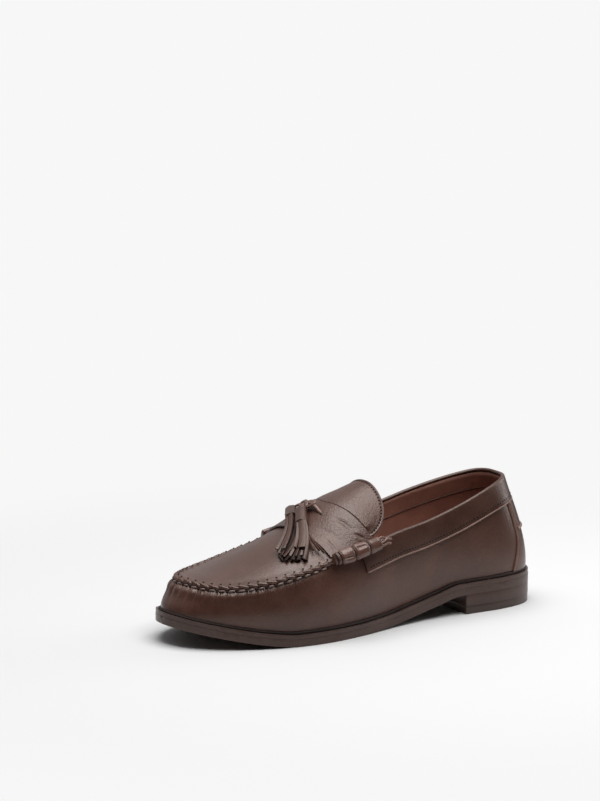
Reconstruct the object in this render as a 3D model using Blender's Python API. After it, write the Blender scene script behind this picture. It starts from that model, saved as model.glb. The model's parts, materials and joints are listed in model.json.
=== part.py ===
import math

import bmesh
import bpy
import numpy as np

# Driving sizes of the left shoe, in metres. The toe points along -X, the heel
# along +X, the outer side of the foot along -Y, and the floor is z = 0.
shoe_length = 0.300
ball_width = 0.107
collar_height = 0.0945
toe_spring = 0.0145
heel_seat = 0.0150
heel_breast = 0.235
heel_taper = 0.0008
outsole_thickness = 0.0050
welt_thickness = 0.0032
welt_step = 0.0005
top_lift_thickness = 0.0060
insole_thickness = 0.0030
welt_ledge = 0.0038
heel_ledge = 0.0034
ledge_change = (0.12, 0.42)
gap = 0.0003

upper_wall = 0.0018
seam_ridge = 0.0014
band_width = 0.0170
band_thickness = 0.0011
band_slant = 0.55
band_end = 21.7
patch_end = 5.5
patch_foot = 0.02
counter_thickness = 0.0009
tab_thickness = 0.0013
tab_seam = 0.50
tongue_thickness = 0.0018
tongue_start = 18.12
tongue_side_end = 21.6
tongue_middle_end = 23.75
tongue_roundness = 7.0
tongue_corner = 0.056
saddle_thickness = 0.0015
saddle_gap = 0.0005
saddle_margin = 0.0022
saddle_front = 17.2
saddle_front_curve = 0.5
saddle_rear = 20.2
saddle_rear_curve = 1.6
roll_width = 0.0112
roll_height = 0.0080
roll_drop = 0.0006
roll_rise = 0.0010
roll_waist = 0.14
roll_lean = 0.45
roll_span = (17.6, 21.9)
medial_roll_width = 0.0110
medial_roll_height = 0.0046
medial_roll_rise = 0.0017
tassel_head_length = 0.0110
tassel_head_width = 0.0092
tassel_length = 0.0500
tassel_strip_thickness = 0.0014
skirt_height = 0.0038
skirt_thickness = 0.0020
skirt_start = 1.12
skirt_share = 0.82
skirt_neck = 0.42
knot_length = 0.0130
knot_width = 0.0062
sink = 0.42

# The shoe's surfaces are laid out in columns, counted round the shoe from the
# heel, and in rungs, counted back from the toe. Ends and starts given as plain
# numbers above are in those counts; sink is the share of a round part's height
# between its middle and the surface it rests on.

# The outline of the sole and the top line of the upper, once round from the heel
# along the outer side to the toe and back along the inner side. The foot columns
# are the sole's edge and the top columns are the moccasin seam in front and the
# collar behind. Lengths along the shoe are shares of shoe_length from the heel,
# lengths across are shares of ball_width, and heights of collar_height.
last_columns = ("foot_along", "foot_out", "top_along", "top_out", "top_up")
last_table = (
    (0.000, 0.000, 0.073, 0.000, 0.986),
    (0.018, -0.165, 0.082, -0.110, 0.988),
    (0.060, -0.268, 0.110, -0.190, 0.973),
    (0.130, -0.318, 0.165, -0.247, 0.925),
    (0.230, -0.326, 0.250, -0.282, 0.840),
    (0.340, -0.335, 0.345, -0.315, 0.765),
    (0.450, -0.382, 0.440, -0.347, 0.715),
    (0.550, -0.454, 0.535, -0.392, 0.652),
    (0.640, -0.500, 0.625, -0.423, 0.600),
    (0.730, -0.498, 0.720, -0.418, 0.533),
    (0.820, -0.440, 0.800, -0.368, 0.480),
    (0.900, -0.335, 0.868, -0.271, 0.450),
    (0.960, -0.205, 0.915, -0.155, 0.450),
    (0.990, -0.070, 0.938, -0.033, 0.460),
    (1.000, 0.060, 0.945, 0.070, 0.462),
    (0.990, 0.185, 0.938, 0.167, 0.458),
    (0.960, 0.300, 0.913, 0.260, 0.455),
    (0.900, 0.405, 0.865, 0.345, 0.456),
    (0.820, 0.470, 0.800, 0.392, 0.480),
    (0.730, 0.497, 0.720, 0.416, 0.530),
    (0.650, 0.470, 0.635, 0.407, 0.595),
    (0.560, 0.385, 0.550, 0.378, 0.645),
    (0.460, 0.305, 0.455, 0.341, 0.696),
    (0.360, 0.280, 0.360, 0.308, 0.772),
    (0.250, 0.300, 0.270, 0.280, 0.855),
    (0.140, 0.318, 0.178, 0.248, 0.924),
    (0.060, 0.268, 0.110, 0.190, 0.972),
    (0.018, 0.165, 0.082, 0.110, 0.988),
)

# How far the wall swells above the sole and below the top line, as shares of
# ball_width, along the shoe from the heel.
swell_columns = ("along", "belly", "shoulder")
swell_table = (
    (0.00, 0.018, 0.058),
    (0.06, 0.034, 0.056),
    (0.14, 0.046, 0.034),
    (0.25, 0.055, 0.030),
    (0.50, 0.050, 0.040),
    (0.70, 0.045, 0.060),
    (0.88, 0.024, 0.058),
    (1.00, 0.008, 0.045),
)

# Rise of the apron and tongue above the seam line, as a share of collar_height.
crown_table = (
    (0.44, 0.370),
    (0.50, 0.345),
    (0.58, 0.270),
    (0.63, 0.195),
    (0.67, 0.155),
    (0.73, 0.123),
    (0.84, 0.060),
    (0.93, 0.022),
    (0.95, 0.000),
)

# Height of the outsole's underside behind the ball, as a share of heel_seat.
arch_table = (
    (0.00, 1.000),
    (0.12, 0.985),
    (0.25, 0.950),
    (0.32, 0.630),
    (0.40, 0.300),
    (0.48, 0.065),
    (0.56, 0.000),
)

# Where each tassel's head and tip lie: rung, then place across from the outer to
# the inner side, then how far the tip fans out in both.
tassel_columns = ("head_rung", "head_across", "tip_rung", "tip_across", "fan_rung", "fan_across")
tassel_table = {
    "tassel_near": (18.40, 0.535, 15.45, 0.135, 0.72, -0.035),
    "tassel_far": (18.35, 0.685, 14.40, 0.300, 0.50, -0.050),
}

# Each tassel strip's place across the skirt, its rise above the skirt's middle
# in metres, and its share of the tassel's length.
tassel_strips = (
    (-0.82, 0.0001, 0.90),
    (-0.41, 0.0007, 0.98),
    (0.00, -0.0003, 0.94),
    (0.41, 0.0008, 1.00),
    (0.82, 0.0000, 0.92),
)
tassel_strip_share = 0.17
tassel_sides = 14

# Profile of a tassel's head: share of its length, then share of its width.
head_profile = ((0.0, 0.5), (0.1, 0.86), (0.3, 1.0), (0.75, 1.0), (0.92, 0.88))

ball_flat_end = 0.74
spring_power = 1.35

# The table rows are split into this many columns of faces each.
columns_per_row = 3
column_count = len(last_table) * columns_per_row
toe_column = column_count // 2
apron_end = 18
wall_rows = (0.0, 0.10, 0.22, 0.36, 0.50, 0.64, 0.78, 0.90, 0.96, 1.0)
apron_stations = (0.0, 0.035, 0.08, 0.15, 0.25, 0.37, 0.50, 0.63, 0.75, 0.85, 0.92, 0.965, 1.0)
band_rows = (0.0, 0.34, 0.67, 1.0)
tab_rows = (0.0, 0.4, 0.75, 1.0)
swell_height = 0.30
sole_steps = 36
end_round = 0.006
crown_power = 2.3
knot_place = (19.05, 0.60)

collection_name = "tassel_loafer"
leather_brown = (0.055, 0.028, 0.022)
edge_brown = (0.030, 0.020, 0.017)
lining_brown = (0.060, 0.032, 0.022)
rubber_dark = (0.022, 0.016, 0.014)
leather_roughness = 0.42
edge_roughness = 0.45
lining_roughness = 0.60
rubber_roughness = 0.70


def clear_scene():
    for item in list(bpy.data.objects):
        bpy.data.objects.remove(item, do_unlink=True)


def make_collection(name):
    group = bpy.data.collections.get(name) or bpy.data.collections.new(name)
    if name not in bpy.context.scene.collection.children:
        bpy.context.scene.collection.children.link(group)
    return group


def make_material(name, colour, roughness):
    material = bpy.data.materials.new(name)
    material.use_nodes = True
    shader = material.node_tree.nodes["Principled BSDF"]
    shader.inputs["Base Color"].default_value = (*colour, 1.0)
    shader.inputs["Roughness"].default_value = roughness
    shader.inputs["Metallic"].default_value = 0.0
    return material


def unit(vector):
    return vector / max(np.linalg.norm(vector), 1e-12)


def smooth(share):
    share = min(max(share, 0.0), 1.0)
    return share * share * (3 - 2 * share)


def blend(table, place, column=1):
    """Monotone smooth curve through one column of a table."""
    xs = [row[0] for row in table]
    ys = [row[column] for row in table]
    place = min(max(place, xs[0]), xs[-1])
    steps = [b - a for a, b in zip(xs, xs[1:])]
    slopes = [(d - c) / step for c, d, step in zip(ys, ys[1:], steps)]
    tangents = [slopes[0]]
    for before, after in zip(slopes, slopes[1:]):
        same_way = before * after > 0
        tangents.append(2 * before * after / (before + after) if same_way else 0.0)
    tangents.append(slopes[-1])
    i = max(j for j in range(len(steps)) if xs[j] <= place)
    t = (place - xs[i]) / steps[i]
    start = (1 + 2 * t) * (1 - t) ** 2 * ys[i] + t * (1 - t) ** 2 * steps[i] * tangents[i]
    end = t * t * (3 - 2 * t) * ys[i + 1] - t * t * (1 - t) * steps[i] * tangents[i + 1]
    return start + end


def along_share(x):
    return (shoe_length / 2 - x) / shoe_length


def place_x(along):
    return shoe_length / 2 - along * shoe_length


def last_value(column, name):
    """Closed smooth curve through one column of the last table."""
    k = last_columns.index(name)
    row = column / columns_per_row
    i = math.floor(row)
    t = row - i
    a, b, c, d = (last_table[(i + j) % len(last_table)][k] for j in (-1, 0, 1, 2))
    return 0.5 * (2 * b + (c - a) * t + (2 * a - 5 * b + 4 * c - d) * t * t
                  + (3 * b - a - 3 * c + d) * t ** 3)


def edge_point(column):
    return np.array([place_x(last_value(column, "foot_along")),
                     last_value(column, "foot_out") * ball_width])


def edge_normal(column):
    run = edge_point(column + 0.5) - edge_point(column - 0.5)
    return unit(np.array([-run[1], run[0]]))


def sole_underside(x):
    along = along_share(x)
    if along > ball_flat_end:
        share = min((along - ball_flat_end) / (1 - ball_flat_end), 1.0)
        return toe_spring * share ** spring_power
    return heel_seat * blend(arch_table, along)


def welt_top(x):
    return sole_underside(x) + outsole_thickness + gap + welt_thickness


def ledge(along):
    start, end = ledge_change
    return heel_ledge + (welt_ledge - heel_ledge) * smooth((along - start) / (end - start))


def wall_foot(column):
    flat = edge_point(column)
    flat = flat - edge_normal(column) * ledge(along_share(flat[0]))
    return np.array([flat[0], flat[1], welt_top(flat[0]) + gap])


def wall_top(column):
    return np.array([place_x(last_value(column, "top_along")),
                     last_value(column, "top_out") * ball_width,
                     last_value(column, "top_up") * collar_height])


def wall_point(column, up):
    foot = wall_foot(column)
    top = wall_top(column)
    out = np.append(edge_normal(column), 0.0)
    along = last_value(column, "foot_along")
    rise = np.array([0.0, 0.0, (top[2] - foot[2]) * swell_height])
    belly = blend(swell_table, along, swell_columns.index("belly"))
    shoulder = blend(swell_table, along, swell_columns.index("shoulder"))
    low = foot + out * belly * ball_width + rise
    high = top + out * shoulder * ball_width - rise
    down = 1 - up
    return down ** 3 * foot + 3 * down * down * up * low + 3 * down * up * up * high + up ** 3 * top


def wall_frame(column, up):
    """Outward normal of the wall and its upward direction."""
    step = 0.01
    low = max(up - step, 0.0)
    high = min(up + step, 1.0)
    rise = unit(wall_point(column, high) - wall_point(column, low))
    run = wall_point(column + 0.2, up) - wall_point(column - 0.2, up)
    return unit(np.cross(rise, run)), rise


def skin(column, up, lift):
    return wall_point(column, up) + wall_frame(column, up)[0] * lift


def wall_length(column):
    points = [wall_point(column, j / 12) for j in range(13)]
    return sum(np.linalg.norm(b - a) for a, b in zip(points, points[1:]))


def apron_point(rung, across):
    """Surface of the apron and tongue, between the two sides of the top line."""
    outer = wall_top(toe_column - rung)
    inner = wall_top(toe_column + rung)
    point = outer + (inner - outer) * across
    along = along_share(0.5 * (outer[0] + inner[0]))
    bump = 1 - abs(2 * across - 1) ** crown_power
    point[2] += blend(crown_table, along) * collar_height * bump
    return point


def apron_normal(rung, across):
    low = max(across - 0.02, 0.0)
    high = min(across + 0.02, 1.0)
    side = apron_point(rung, high) - apron_point(rung, low)
    back = apron_point(rung + 0.4, across) - apron_point(max(rung - 0.4, 0.05), across)
    normal = unit(np.cross(back, side))
    return normal if normal[2] > 0 else -normal


def apron(rung, across, lift):
    return apron_point(rung, across) + apron_normal(rung, across) * lift


def apron_width(rung):
    return np.linalg.norm(wall_top(toe_column + rung) - wall_top(toe_column - rung))


def seam_normal(rung, side):
    """Direction out of the crease where the wall meets the apron."""
    wall_out = wall_frame(toe_column + side * rung, 1.0)[0]
    return unit(wall_out + apron_normal(max(rung, 1.0), 0.5 + 0.5 * side))


def add_mesh(name, points, faces, material, smooth_angle=35.0):
    mesh = bpy.data.meshes.new(name)
    mesh.from_pydata([tuple(float(c) for c in p) for p in points], [], faces)
    shape = bmesh.new()
    shape.from_mesh(mesh)
    bmesh.ops.recalc_face_normals(shape, faces=shape.faces)
    shape.to_mesh(mesh)
    shape.free()
    mesh.shade_smooth()
    mesh.set_sharp_from_angle(angle=math.radians(smooth_angle))
    item = bpy.data.objects.new(name, mesh)
    mesh.materials.append(material)
    parts.objects.link(item)
    return item


def loft(rings):
    """Closed solid through rings of equal length, with a flat cap at each end."""
    count = len(rings[0])
    points = [p for ring in rings for p in ring]
    faces = []
    for r in range(len(rings) - 1):
        for k in range(count):
            a = r * count + k
            b = r * count + (k + 1) % count
            faces.append((a, b, b + count, a + count))
    faces.append(tuple(reversed(range(count))))
    last = (len(rings) - 1) * count
    faces.append(tuple(last + k for k in range(count)))
    return points, faces


def sheet(name, surface, rows, columns, low, high, material):
    """Closed solid between two lifts of one surface, from a grid of places."""
    width = len(columns)
    points = []
    for lift in (low, high):
        for row in rows:
            for column in columns:
                points.append(surface(row, column, lift))
    half = len(rows) * width
    faces = []
    for i in range(len(rows) - 1):
        for j in range(width - 1):
            a = i * width + j
            faces.append((a, a + 1, a + width + 1, a + width))
            faces.append((a + half, a + width + half, a + width + 1 + half, a + 1 + half))
    border = [j for j in range(width)]
    border += [i * width + width - 1 for i in range(1, len(rows))]
    border += [(len(rows) - 1) * width + j for j in range(width - 2, -1, -1)]
    border += [i * width for i in range(len(rows) - 2, 0, -1)]
    for a, b in zip(border, border[1:] + border[:1]):
        faces.append((b, a, a + half, b + half))
    return add_mesh(name, points, faces, material)


def outline_half(inset, side):
    """Points of the sole's outline on one side, moved in, from heel to toe."""
    points = []
    for k in range(toe_column * 8 + 1):
        column = side * k / 8
        points.append(edge_point(column) - edge_normal(column) * inset)
    return np.array(points)


def slab(name, inset, low, high, material, end=1.0):
    """Plate of the sole's outline, from the heel to a share of the length."""
    halves = [outline_half(inset, side) for side in (-1, 1)]
    back = halves[0][0][0]
    front = halves[0][-1][0] if end == 1.0 else place_x(end)
    places = [place_x(0.5 - 0.5 * math.cos(math.pi * k / sole_steps)) for k in range(sole_steps)]
    near_back = [back - end_round * share for share in (0.03, 0.12, 0.3, 0.6)]
    near_front = [front + end_round * share for share in (0.6, 0.3, 0.12, 0.03)]
    middle_front = near_front[0] if end == 1.0 else front
    middle = [x for x in places if middle_front + 0.001 < x < near_back[-1] - 0.001]
    rungs = [back] + near_back + middle + (near_front if end == 1.0 else []) + [front]
    points = []
    groups = []
    for k, x in enumerate(rungs):
        one, two = [np.interp(-x, -half[:, 0], half[:, 1]) for half in halves]
        pointed = k == 0 or (k == len(rungs) - 1 and end == 1.0)
        places = [0.5 * (one + two)] if pointed else [one, 0.5 * (one + two), two]
        group = []
        for level in (low, high):
            group.append([len(points) + j for j in range(len(places))])
            points += [np.array([x, y, level(x)]) for y in places]
        groups.append(group)
    faces = []
    for here, there in zip(groups, groups[1:]):
        for level in (0, 1):
            a, b = here[level], there[level]
            for j in (0, 1):
                ring = [a[j if len(a) > 1 else 0], a[j + 1 if len(a) > 1 else 0],
                        b[j + 1 if len(b) > 1 else 0], b[j if len(b) > 1 else 0]]
                ring = list(dict.fromkeys(ring))
                faces.append(tuple(ring if level else reversed(ring)))
        for j, turn in ((0, 1), (-1, -1)):
            ring = (here[0][j], there[0][j], there[1][j], here[1][j])
            faces.append(ring[::turn])
    if end != 1.0:
        bottom, top = groups[-1]
        faces.append((bottom[0], bottom[1], bottom[2], top[2], top[1], top[0]))
    return add_mesh(name, points, faces, material)


def build_sole():
    def floor(x):
        return 0.0

    def lift_top(x):
        return top_lift_thickness

    def stack_low(x):
        return top_lift_thickness + gap

    def stack_top(x):
        return sole_underside(x) - gap

    def outsole_top(x):
        return sole_underside(x) + outsole_thickness

    def welt_low(x):
        return outsole_top(x) + gap

    def insole_low(x):
        return welt_top(x) + gap

    def insole_top(x):
        return insole_low(x) + insole_thickness

    slab("top_lift", heel_taper, floor, lift_top, rubber, heel_breast)
    slab("heel_stack", heel_taper / 2, stack_low, stack_top, edge_leather, heel_breast)
    slab("outsole", 0.0, sole_underside, outsole_top, edge_leather)
    slab("welt", welt_step, welt_low, welt_top, edge_leather)
    inset = welt_ledge + upper_wall + 2 * gap
    slab("insole", inset, insole_low, insole_top, lining_leather)


def build_upper():
    points = []
    outer = {}
    inner = {}

    def add(point):
        points.append(point)
        return len(points) - 1

    def rung_of(column):
        return abs((column - toe_column + column_count // 2) % column_count - column_count // 2)

    for column in range(column_count):
        rung = rung_of(column)
        closed_top = rung <= apron_end
        side = 1 if column > toe_column else -1
        for j, up in enumerate(wall_rows):
            inner_up = up
            if closed_top:
                inner_up = up * (1 - upper_wall / wall_length(column))
            if closed_top and up == 1.0:
                fade = min(max((apron_end - 1 - rung) / 3, 0.0), 1.0)
                crease = seam_normal(rung, side)
                outer[column, j] = add(wall_point(column, 1.0) + crease * seam_ridge * fade)
                wall_out = wall_frame(column, 1.0)[0]
                depth = upper_wall / max(float(np.dot(crease, wall_out)), 0.6)
                inner[column, j] = add(wall_point(column, 1.0) - crease * depth)
                continue
            outer[column, j] = add(wall_point(column, up))
            inner[column, j] = add(skin(column, inner_up, -upper_wall))
    top = len(wall_rows) - 1
    last = len(apron_stations) - 1
    apron_outer = {}
    apron_inner = {}
    for rung in range(apron_end + 1):
        for k, across in enumerate(apron_stations):
            if rung == 0:
                apron_outer[rung, k] = outer[toe_column, top]
                apron_inner[rung, k] = inner[toe_column, top]
            elif k in (0, last):
                column = toe_column - rung if k == 0 else toe_column + rung
                apron_outer[rung, k] = outer[column, top]
                apron_inner[rung, k] = inner[column, top]
            else:
                margin = 1.2 * upper_wall / apron_width(rung)
                place = margin + across * (1 - 2 * margin)
                apron_outer[rung, k] = add(apron(rung, across, 0.0))
                apron_inner[rung, k] = add(apron(rung, place, -upper_wall))
    faces = []

    def quad(a, b, c, d):
        ring = tuple(dict.fromkeys((a, b, c, d)))
        faces.append(ring)

    for column in range(column_count):
        beside = (column + 1) % column_count
        for j in range(top):
            quad(outer[column, j], outer[beside, j], outer[beside, j + 1], outer[column, j + 1])
            quad(inner[column, j + 1], inner[beside, j + 1], inner[beside, j], inner[column, j])
        quad(inner[column, 0], inner[beside, 0], outer[beside, 0], outer[column, 0])
        if max(rung_of(column), rung_of(beside)) > apron_end:
            quad(outer[column, top], outer[beside, top], inner[beside, top], inner[column, top])
    for rung in range(apron_end):
        for k in range(last):
            quad(apron_outer[rung, k], apron_outer[rung + 1, k],
                 apron_outer[rung + 1, k + 1], apron_outer[rung, k + 1])
            quad(apron_inner[rung, k + 1], apron_inner[rung + 1, k + 1],
                 apron_inner[rung + 1, k], apron_inner[rung, k])
    for k in range(last):
        quad(apron_outer[apron_end, k], apron_inner[apron_end, k],
             apron_inner[apron_end, k + 1], apron_outer[apron_end, k + 1])
    add_mesh("upper", points, faces, upper_leather)


def spread_columns(end):
    """Every whole column up to the same distance on both sides of the heel."""
    return [-end] + list(range(math.ceil(-end), math.floor(end) + 1)) + [end]


def build_collar_band():
    rings = []
    cover = gap + band_thickness
    for column in spread_columns(band_end):
        slant = band_slant * column / band_end if abs(column) == band_end else 0.0
        low = 1 - band_width / wall_length(column)
        places = [(column - slant * (1 - share), low + (1 - low) * share) for share in band_rows]
        crest = wall_point(column, 1.0)
        out, rise = wall_frame(column, 1.0)
        ring = [skin(beside, up, gap) for beside, up in places]
        ring.append(crest + out * gap + rise * gap)
        ring.append(crest - out * upper_wall + rise * gap)
        ring.append(crest - out * upper_wall + rise * (gap + 0.6 * band_thickness))
        ring.append(crest - out * 0.5 * upper_wall + rise * cover)
        ring.append(crest + out * (gap + 0.2 * band_thickness) + rise * cover)
        ring.append(crest + out * (gap + 0.8 * band_thickness) + rise * (gap + 0.5 * band_thickness))
        ring += [skin(beside, up, cover) for beside, up in reversed(places)]
        rings.append(ring)
    points, faces = loft(rings)
    add_mesh("collar_band", points, faces, upper_leather)


def build_heel_patch():
    columns = spread_columns(patch_end)
    below = [patch_foot] + [up for up in wall_rows if patch_foot < up < tab_seam] + [tab_seam]

    def counter(up, column, lift):
        return skin(column, up, lift)

    def tab(row, column, lift):
        high = 1 - (band_width + 3 * gap) / wall_length(column)
        low = tab_seam + 2 * gap / wall_length(column)
        return skin(column, low + (high - low) * row, lift)

    sheet("heel_counter", counter, below, columns, gap, gap + counter_thickness, upper_leather)
    sheet("heel_tab", tab, tab_rows, columns, gap, gap + tab_thickness, upper_leather)


def build_tongue():
    rows = [j / 8 for j in range(9)]
    margin = (upper_wall + 4 * gap) / apron_width(apron_end)

    def surface(row, across, lift):
        lean = min(1.0, abs(2 * across - 1) / (1 - 2 * margin))
        rounding = (1 - lean ** tongue_roundness) ** 0.5
        end = tongue_side_end + (tongue_middle_end - tongue_side_end) * rounding
        return apron(tongue_start + (end - tongue_start) * row, across, lift)

    inner = [s for s in apron_stations if tongue_corner < s < 1 - tongue_corner]
    columns = [margin, tongue_corner] + inner + [1 - tongue_corner, 1 - margin]
    sheet("tongue", surface, rows, columns, -tongue_thickness, 0.0, upper_leather)


def saddle_edges(across):
    lean = abs(2 * across - 1)
    return saddle_front + saddle_front_curve * lean ** 2, saddle_rear + saddle_rear_curve * lean ** 1.6


def build_saddle():
    margin = saddle_margin / apron_width(apron_end)

    def surface(row, across, lift):
        front, rear = saddle_edges(across)
        return apron(front + (rear - front) * row, across, lift)

    rows = [j / 5 for j in range(6)]
    columns = [margin] + [s for s in apron_stations if margin < s < 1 - margin] + [1 - margin]
    sheet("saddle", surface, rows, columns, saddle_gap, saddle_gap + saddle_thickness, upper_leather)


def build_roll(name, side, width, height, climb_height, waist):
    first, last = roll_span
    steps = 18
    count = 12
    rings = []
    for k in range(steps + 1):
        share = k / steps
        rung = first + (last - first) * share
        crest = wall_top(toe_column + side * rung)
        wall_out = wall_frame(toe_column + side * rung, 1.0)[0]
        out = unit(wall_out + roll_lean * apron_normal(rung, 0.5 + 0.5 * side))
        behind = wall_top(toe_column + side * (rung + 0.1))
        ahead = unit(behind - wall_top(toe_column + side * (rung - 0.1)))
        flat = np.cross(ahead, out) * side
        climb = min(max((share - 0.45) / 0.25, 0.0), 1.0)
        swell = 1 - waist * (0.5 + 0.5 * math.cos(6 * math.pi * share))
        swell *= min(1.0, 0.72 + 4 * min(share, 1 - share)) * (0.9 + 0.1 * share)
        clear = 2 * gap + climb_height * climb
        centre = crest + out * (clear + 0.5 * height) - flat * roll_drop
        ring = []
        for j in range(count):
            turn = 2 * math.pi * j / count
            ring.append(centre + flat * 0.5 * width * swell * math.cos(turn)
                        + out * 0.5 * height * swell * math.sin(turn))
        rings.append(ring)
    points, faces = loft(rings)
    add_mesh(name, points, faces, upper_leather)


def ring_round(centre, side, up, half_width, half_height, count):
    ring = []
    for j in range(count):
        turn = 2 * math.pi * j / count
        ring.append(centre + side * half_width * math.cos(turn) + up * half_height * math.sin(turn))
    return ring


def fuse(base, extras):
    """Boolean union of extra objects into the base, which keeps one mesh."""
    for extra in extras:
        cut = base.modifiers.new("fuse", "BOOLEAN")
        cut.operation = "UNION"
        cut.solver = "EXACT"
        cut.object = extra
    bpy.context.view_layer.update()
    graph = bpy.context.evaluated_depsgraph_get()
    mesh = bpy.data.meshes.new_from_object(base.evaluated_get(graph))
    base.modifiers.clear()
    base.data = mesh
    for extra in extras:
        bpy.data.objects.remove(extra, do_unlink=True)


def build_tassel(name):
    """Barrel head that opens into a skirt, with flat strips fused along it."""
    lift = saddle_gap + saddle_thickness + gap + sink * tassel_head_width
    spot = dict(zip(tassel_columns, tassel_table[name]))

    def drape(share, spread, height):
        wide = spread * (skirt_neck + (1 - skirt_neck) * share)
        rung = spot["head_rung"] + (spot["tip_rung"] - spot["head_rung"]) * share
        across = spot["head_across"] + (spot["tip_across"] - spot["head_across"]) * share
        return apron(rung + spot["fan_rung"] * wide, across + spot["fan_across"] * wide, height)

    start = drape(0.0, 0.0, lift)
    reach = tassel_length / np.linalg.norm(drape(1.0, 0.0, lift) - start)
    axis = unit(drape(0.3, 0.0, lift) - start)
    up = apron_normal(spot["head_rung"], spot["head_across"])
    side = unit(np.cross(axis, up))
    if np.dot(side, drape(0.3, 1.0, lift) - drape(0.3, 0.0, lift)) < 0:
        side = -side
    up = unit(up - axis * np.dot(up, axis))

    def place(share, spread, raised):
        settle = max(1 - share / reach, 0.0) ** 2
        return drape(share, spread, skirt_height + (lift - skirt_height) * settle + raised)

    first = skirt_start * tassel_head_length / tassel_length * reach
    rings = []
    for share, size in head_profile:
        half = 0.5 * tassel_head_width * size
        middle = start + axis * tassel_head_length * share
        rings.append(ring_round(middle, side, up, half, half * 0.8, tassel_sides))
    for k in range(6):
        share = first + (reach * skirt_share - first) * k / 5
        thick = 0.5 * skirt_thickness * (1.7 - 0.7 * k / 5)
        turns = [2 * math.pi * j / tassel_sides for j in range(tassel_sides)]
        rings.append([place(share, math.cos(turn), math.sin(turn) * thick) for turn in turns])
    points, faces = loft(rings)
    head = add_mesh(name, points, faces, upper_leather)
    extras = []
    for spread, raised, cut in tassel_strips:
        rings = []
        for j in range(6):
            share = first * 1.2 + (reach * cut - first * 1.2) * j / 5
            thick = 0.5 * tassel_strip_thickness
            rings.append([place(share, spread + tassel_strip_share, raised + thick),
                          place(share, spread - tassel_strip_share, raised + thick),
                          place(share, spread - tassel_strip_share, raised - thick),
                          place(share, spread + tassel_strip_share, raised - thick)])
        points, faces = loft(rings)
        extras.append(add_mesh(f"{name}_strip", points, faces, upper_leather))
    fuse(head, extras)


def build_knot():
    rung, across = knot_place
    centre = apron(rung, across, saddle_gap + saddle_thickness + gap + sink * knot_width)
    side = unit(apron(rung, across + 0.05, 0.0) - apron(rung, across - 0.05, 0.0))
    up = apron_normal(rung, across)
    ahead = np.cross(up, side)
    rings = []
    for k in range(7):
        share = k / 6
        size = math.sin(math.pi * (0.14 + 0.72 * share)) ** 0.6
        middle = centre + side * knot_length * (share - 0.5)
        half = 0.5 * knot_width * size
        rings.append(ring_round(middle, ahead, up, half, half * 0.85, 10))
    points, faces = loft(rings)
    add_mesh("lace_knot", points, faces, upper_leather)


clear_scene()
parts = make_collection(collection_name)
upper_leather = make_material("upper_leather", leather_brown, leather_roughness)
edge_leather = make_material("edge_leather", edge_brown, edge_roughness)
lining_leather = make_material("lining_leather", lining_brown, lining_roughness)
rubber = make_material("rubber", rubber_dark, rubber_roughness)

build_sole()
build_upper()
build_collar_band()
build_heel_patch()
build_tongue()
build_saddle()
build_roll("beefroll_outer", -1, roll_width, roll_height, roll_rise, roll_waist)
build_roll("roll_inner", 1, medial_roll_width, medial_roll_height, medial_roll_rise, 0.0)
build_tassel("tassel_near")
build_tassel("tassel_far")
build_knot()
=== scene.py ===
import json
import math
import random

import bmesh
import bpy
import numpy as np
from mathutils import Matrix, Vector

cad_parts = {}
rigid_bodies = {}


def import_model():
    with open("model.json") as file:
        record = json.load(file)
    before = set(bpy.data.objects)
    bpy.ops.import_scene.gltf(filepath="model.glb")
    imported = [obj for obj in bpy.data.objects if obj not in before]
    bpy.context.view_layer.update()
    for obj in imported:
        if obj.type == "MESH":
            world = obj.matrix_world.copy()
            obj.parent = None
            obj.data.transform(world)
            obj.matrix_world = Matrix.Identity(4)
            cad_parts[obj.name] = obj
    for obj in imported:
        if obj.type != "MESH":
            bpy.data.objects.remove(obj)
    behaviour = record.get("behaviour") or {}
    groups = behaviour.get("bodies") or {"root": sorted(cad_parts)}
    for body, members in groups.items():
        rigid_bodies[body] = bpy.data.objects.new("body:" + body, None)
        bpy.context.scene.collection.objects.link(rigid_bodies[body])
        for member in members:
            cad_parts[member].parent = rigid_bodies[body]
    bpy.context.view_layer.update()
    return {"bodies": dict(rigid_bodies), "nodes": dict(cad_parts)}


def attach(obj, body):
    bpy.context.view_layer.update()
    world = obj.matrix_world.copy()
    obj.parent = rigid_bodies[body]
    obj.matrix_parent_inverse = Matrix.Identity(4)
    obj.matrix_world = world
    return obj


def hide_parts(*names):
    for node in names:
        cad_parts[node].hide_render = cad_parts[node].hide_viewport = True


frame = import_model()
rootBody = next(iter(frame["bodies"]))
print("frame loaded,", len(frame["nodes"]), "nodes on", rootBody)

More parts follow.
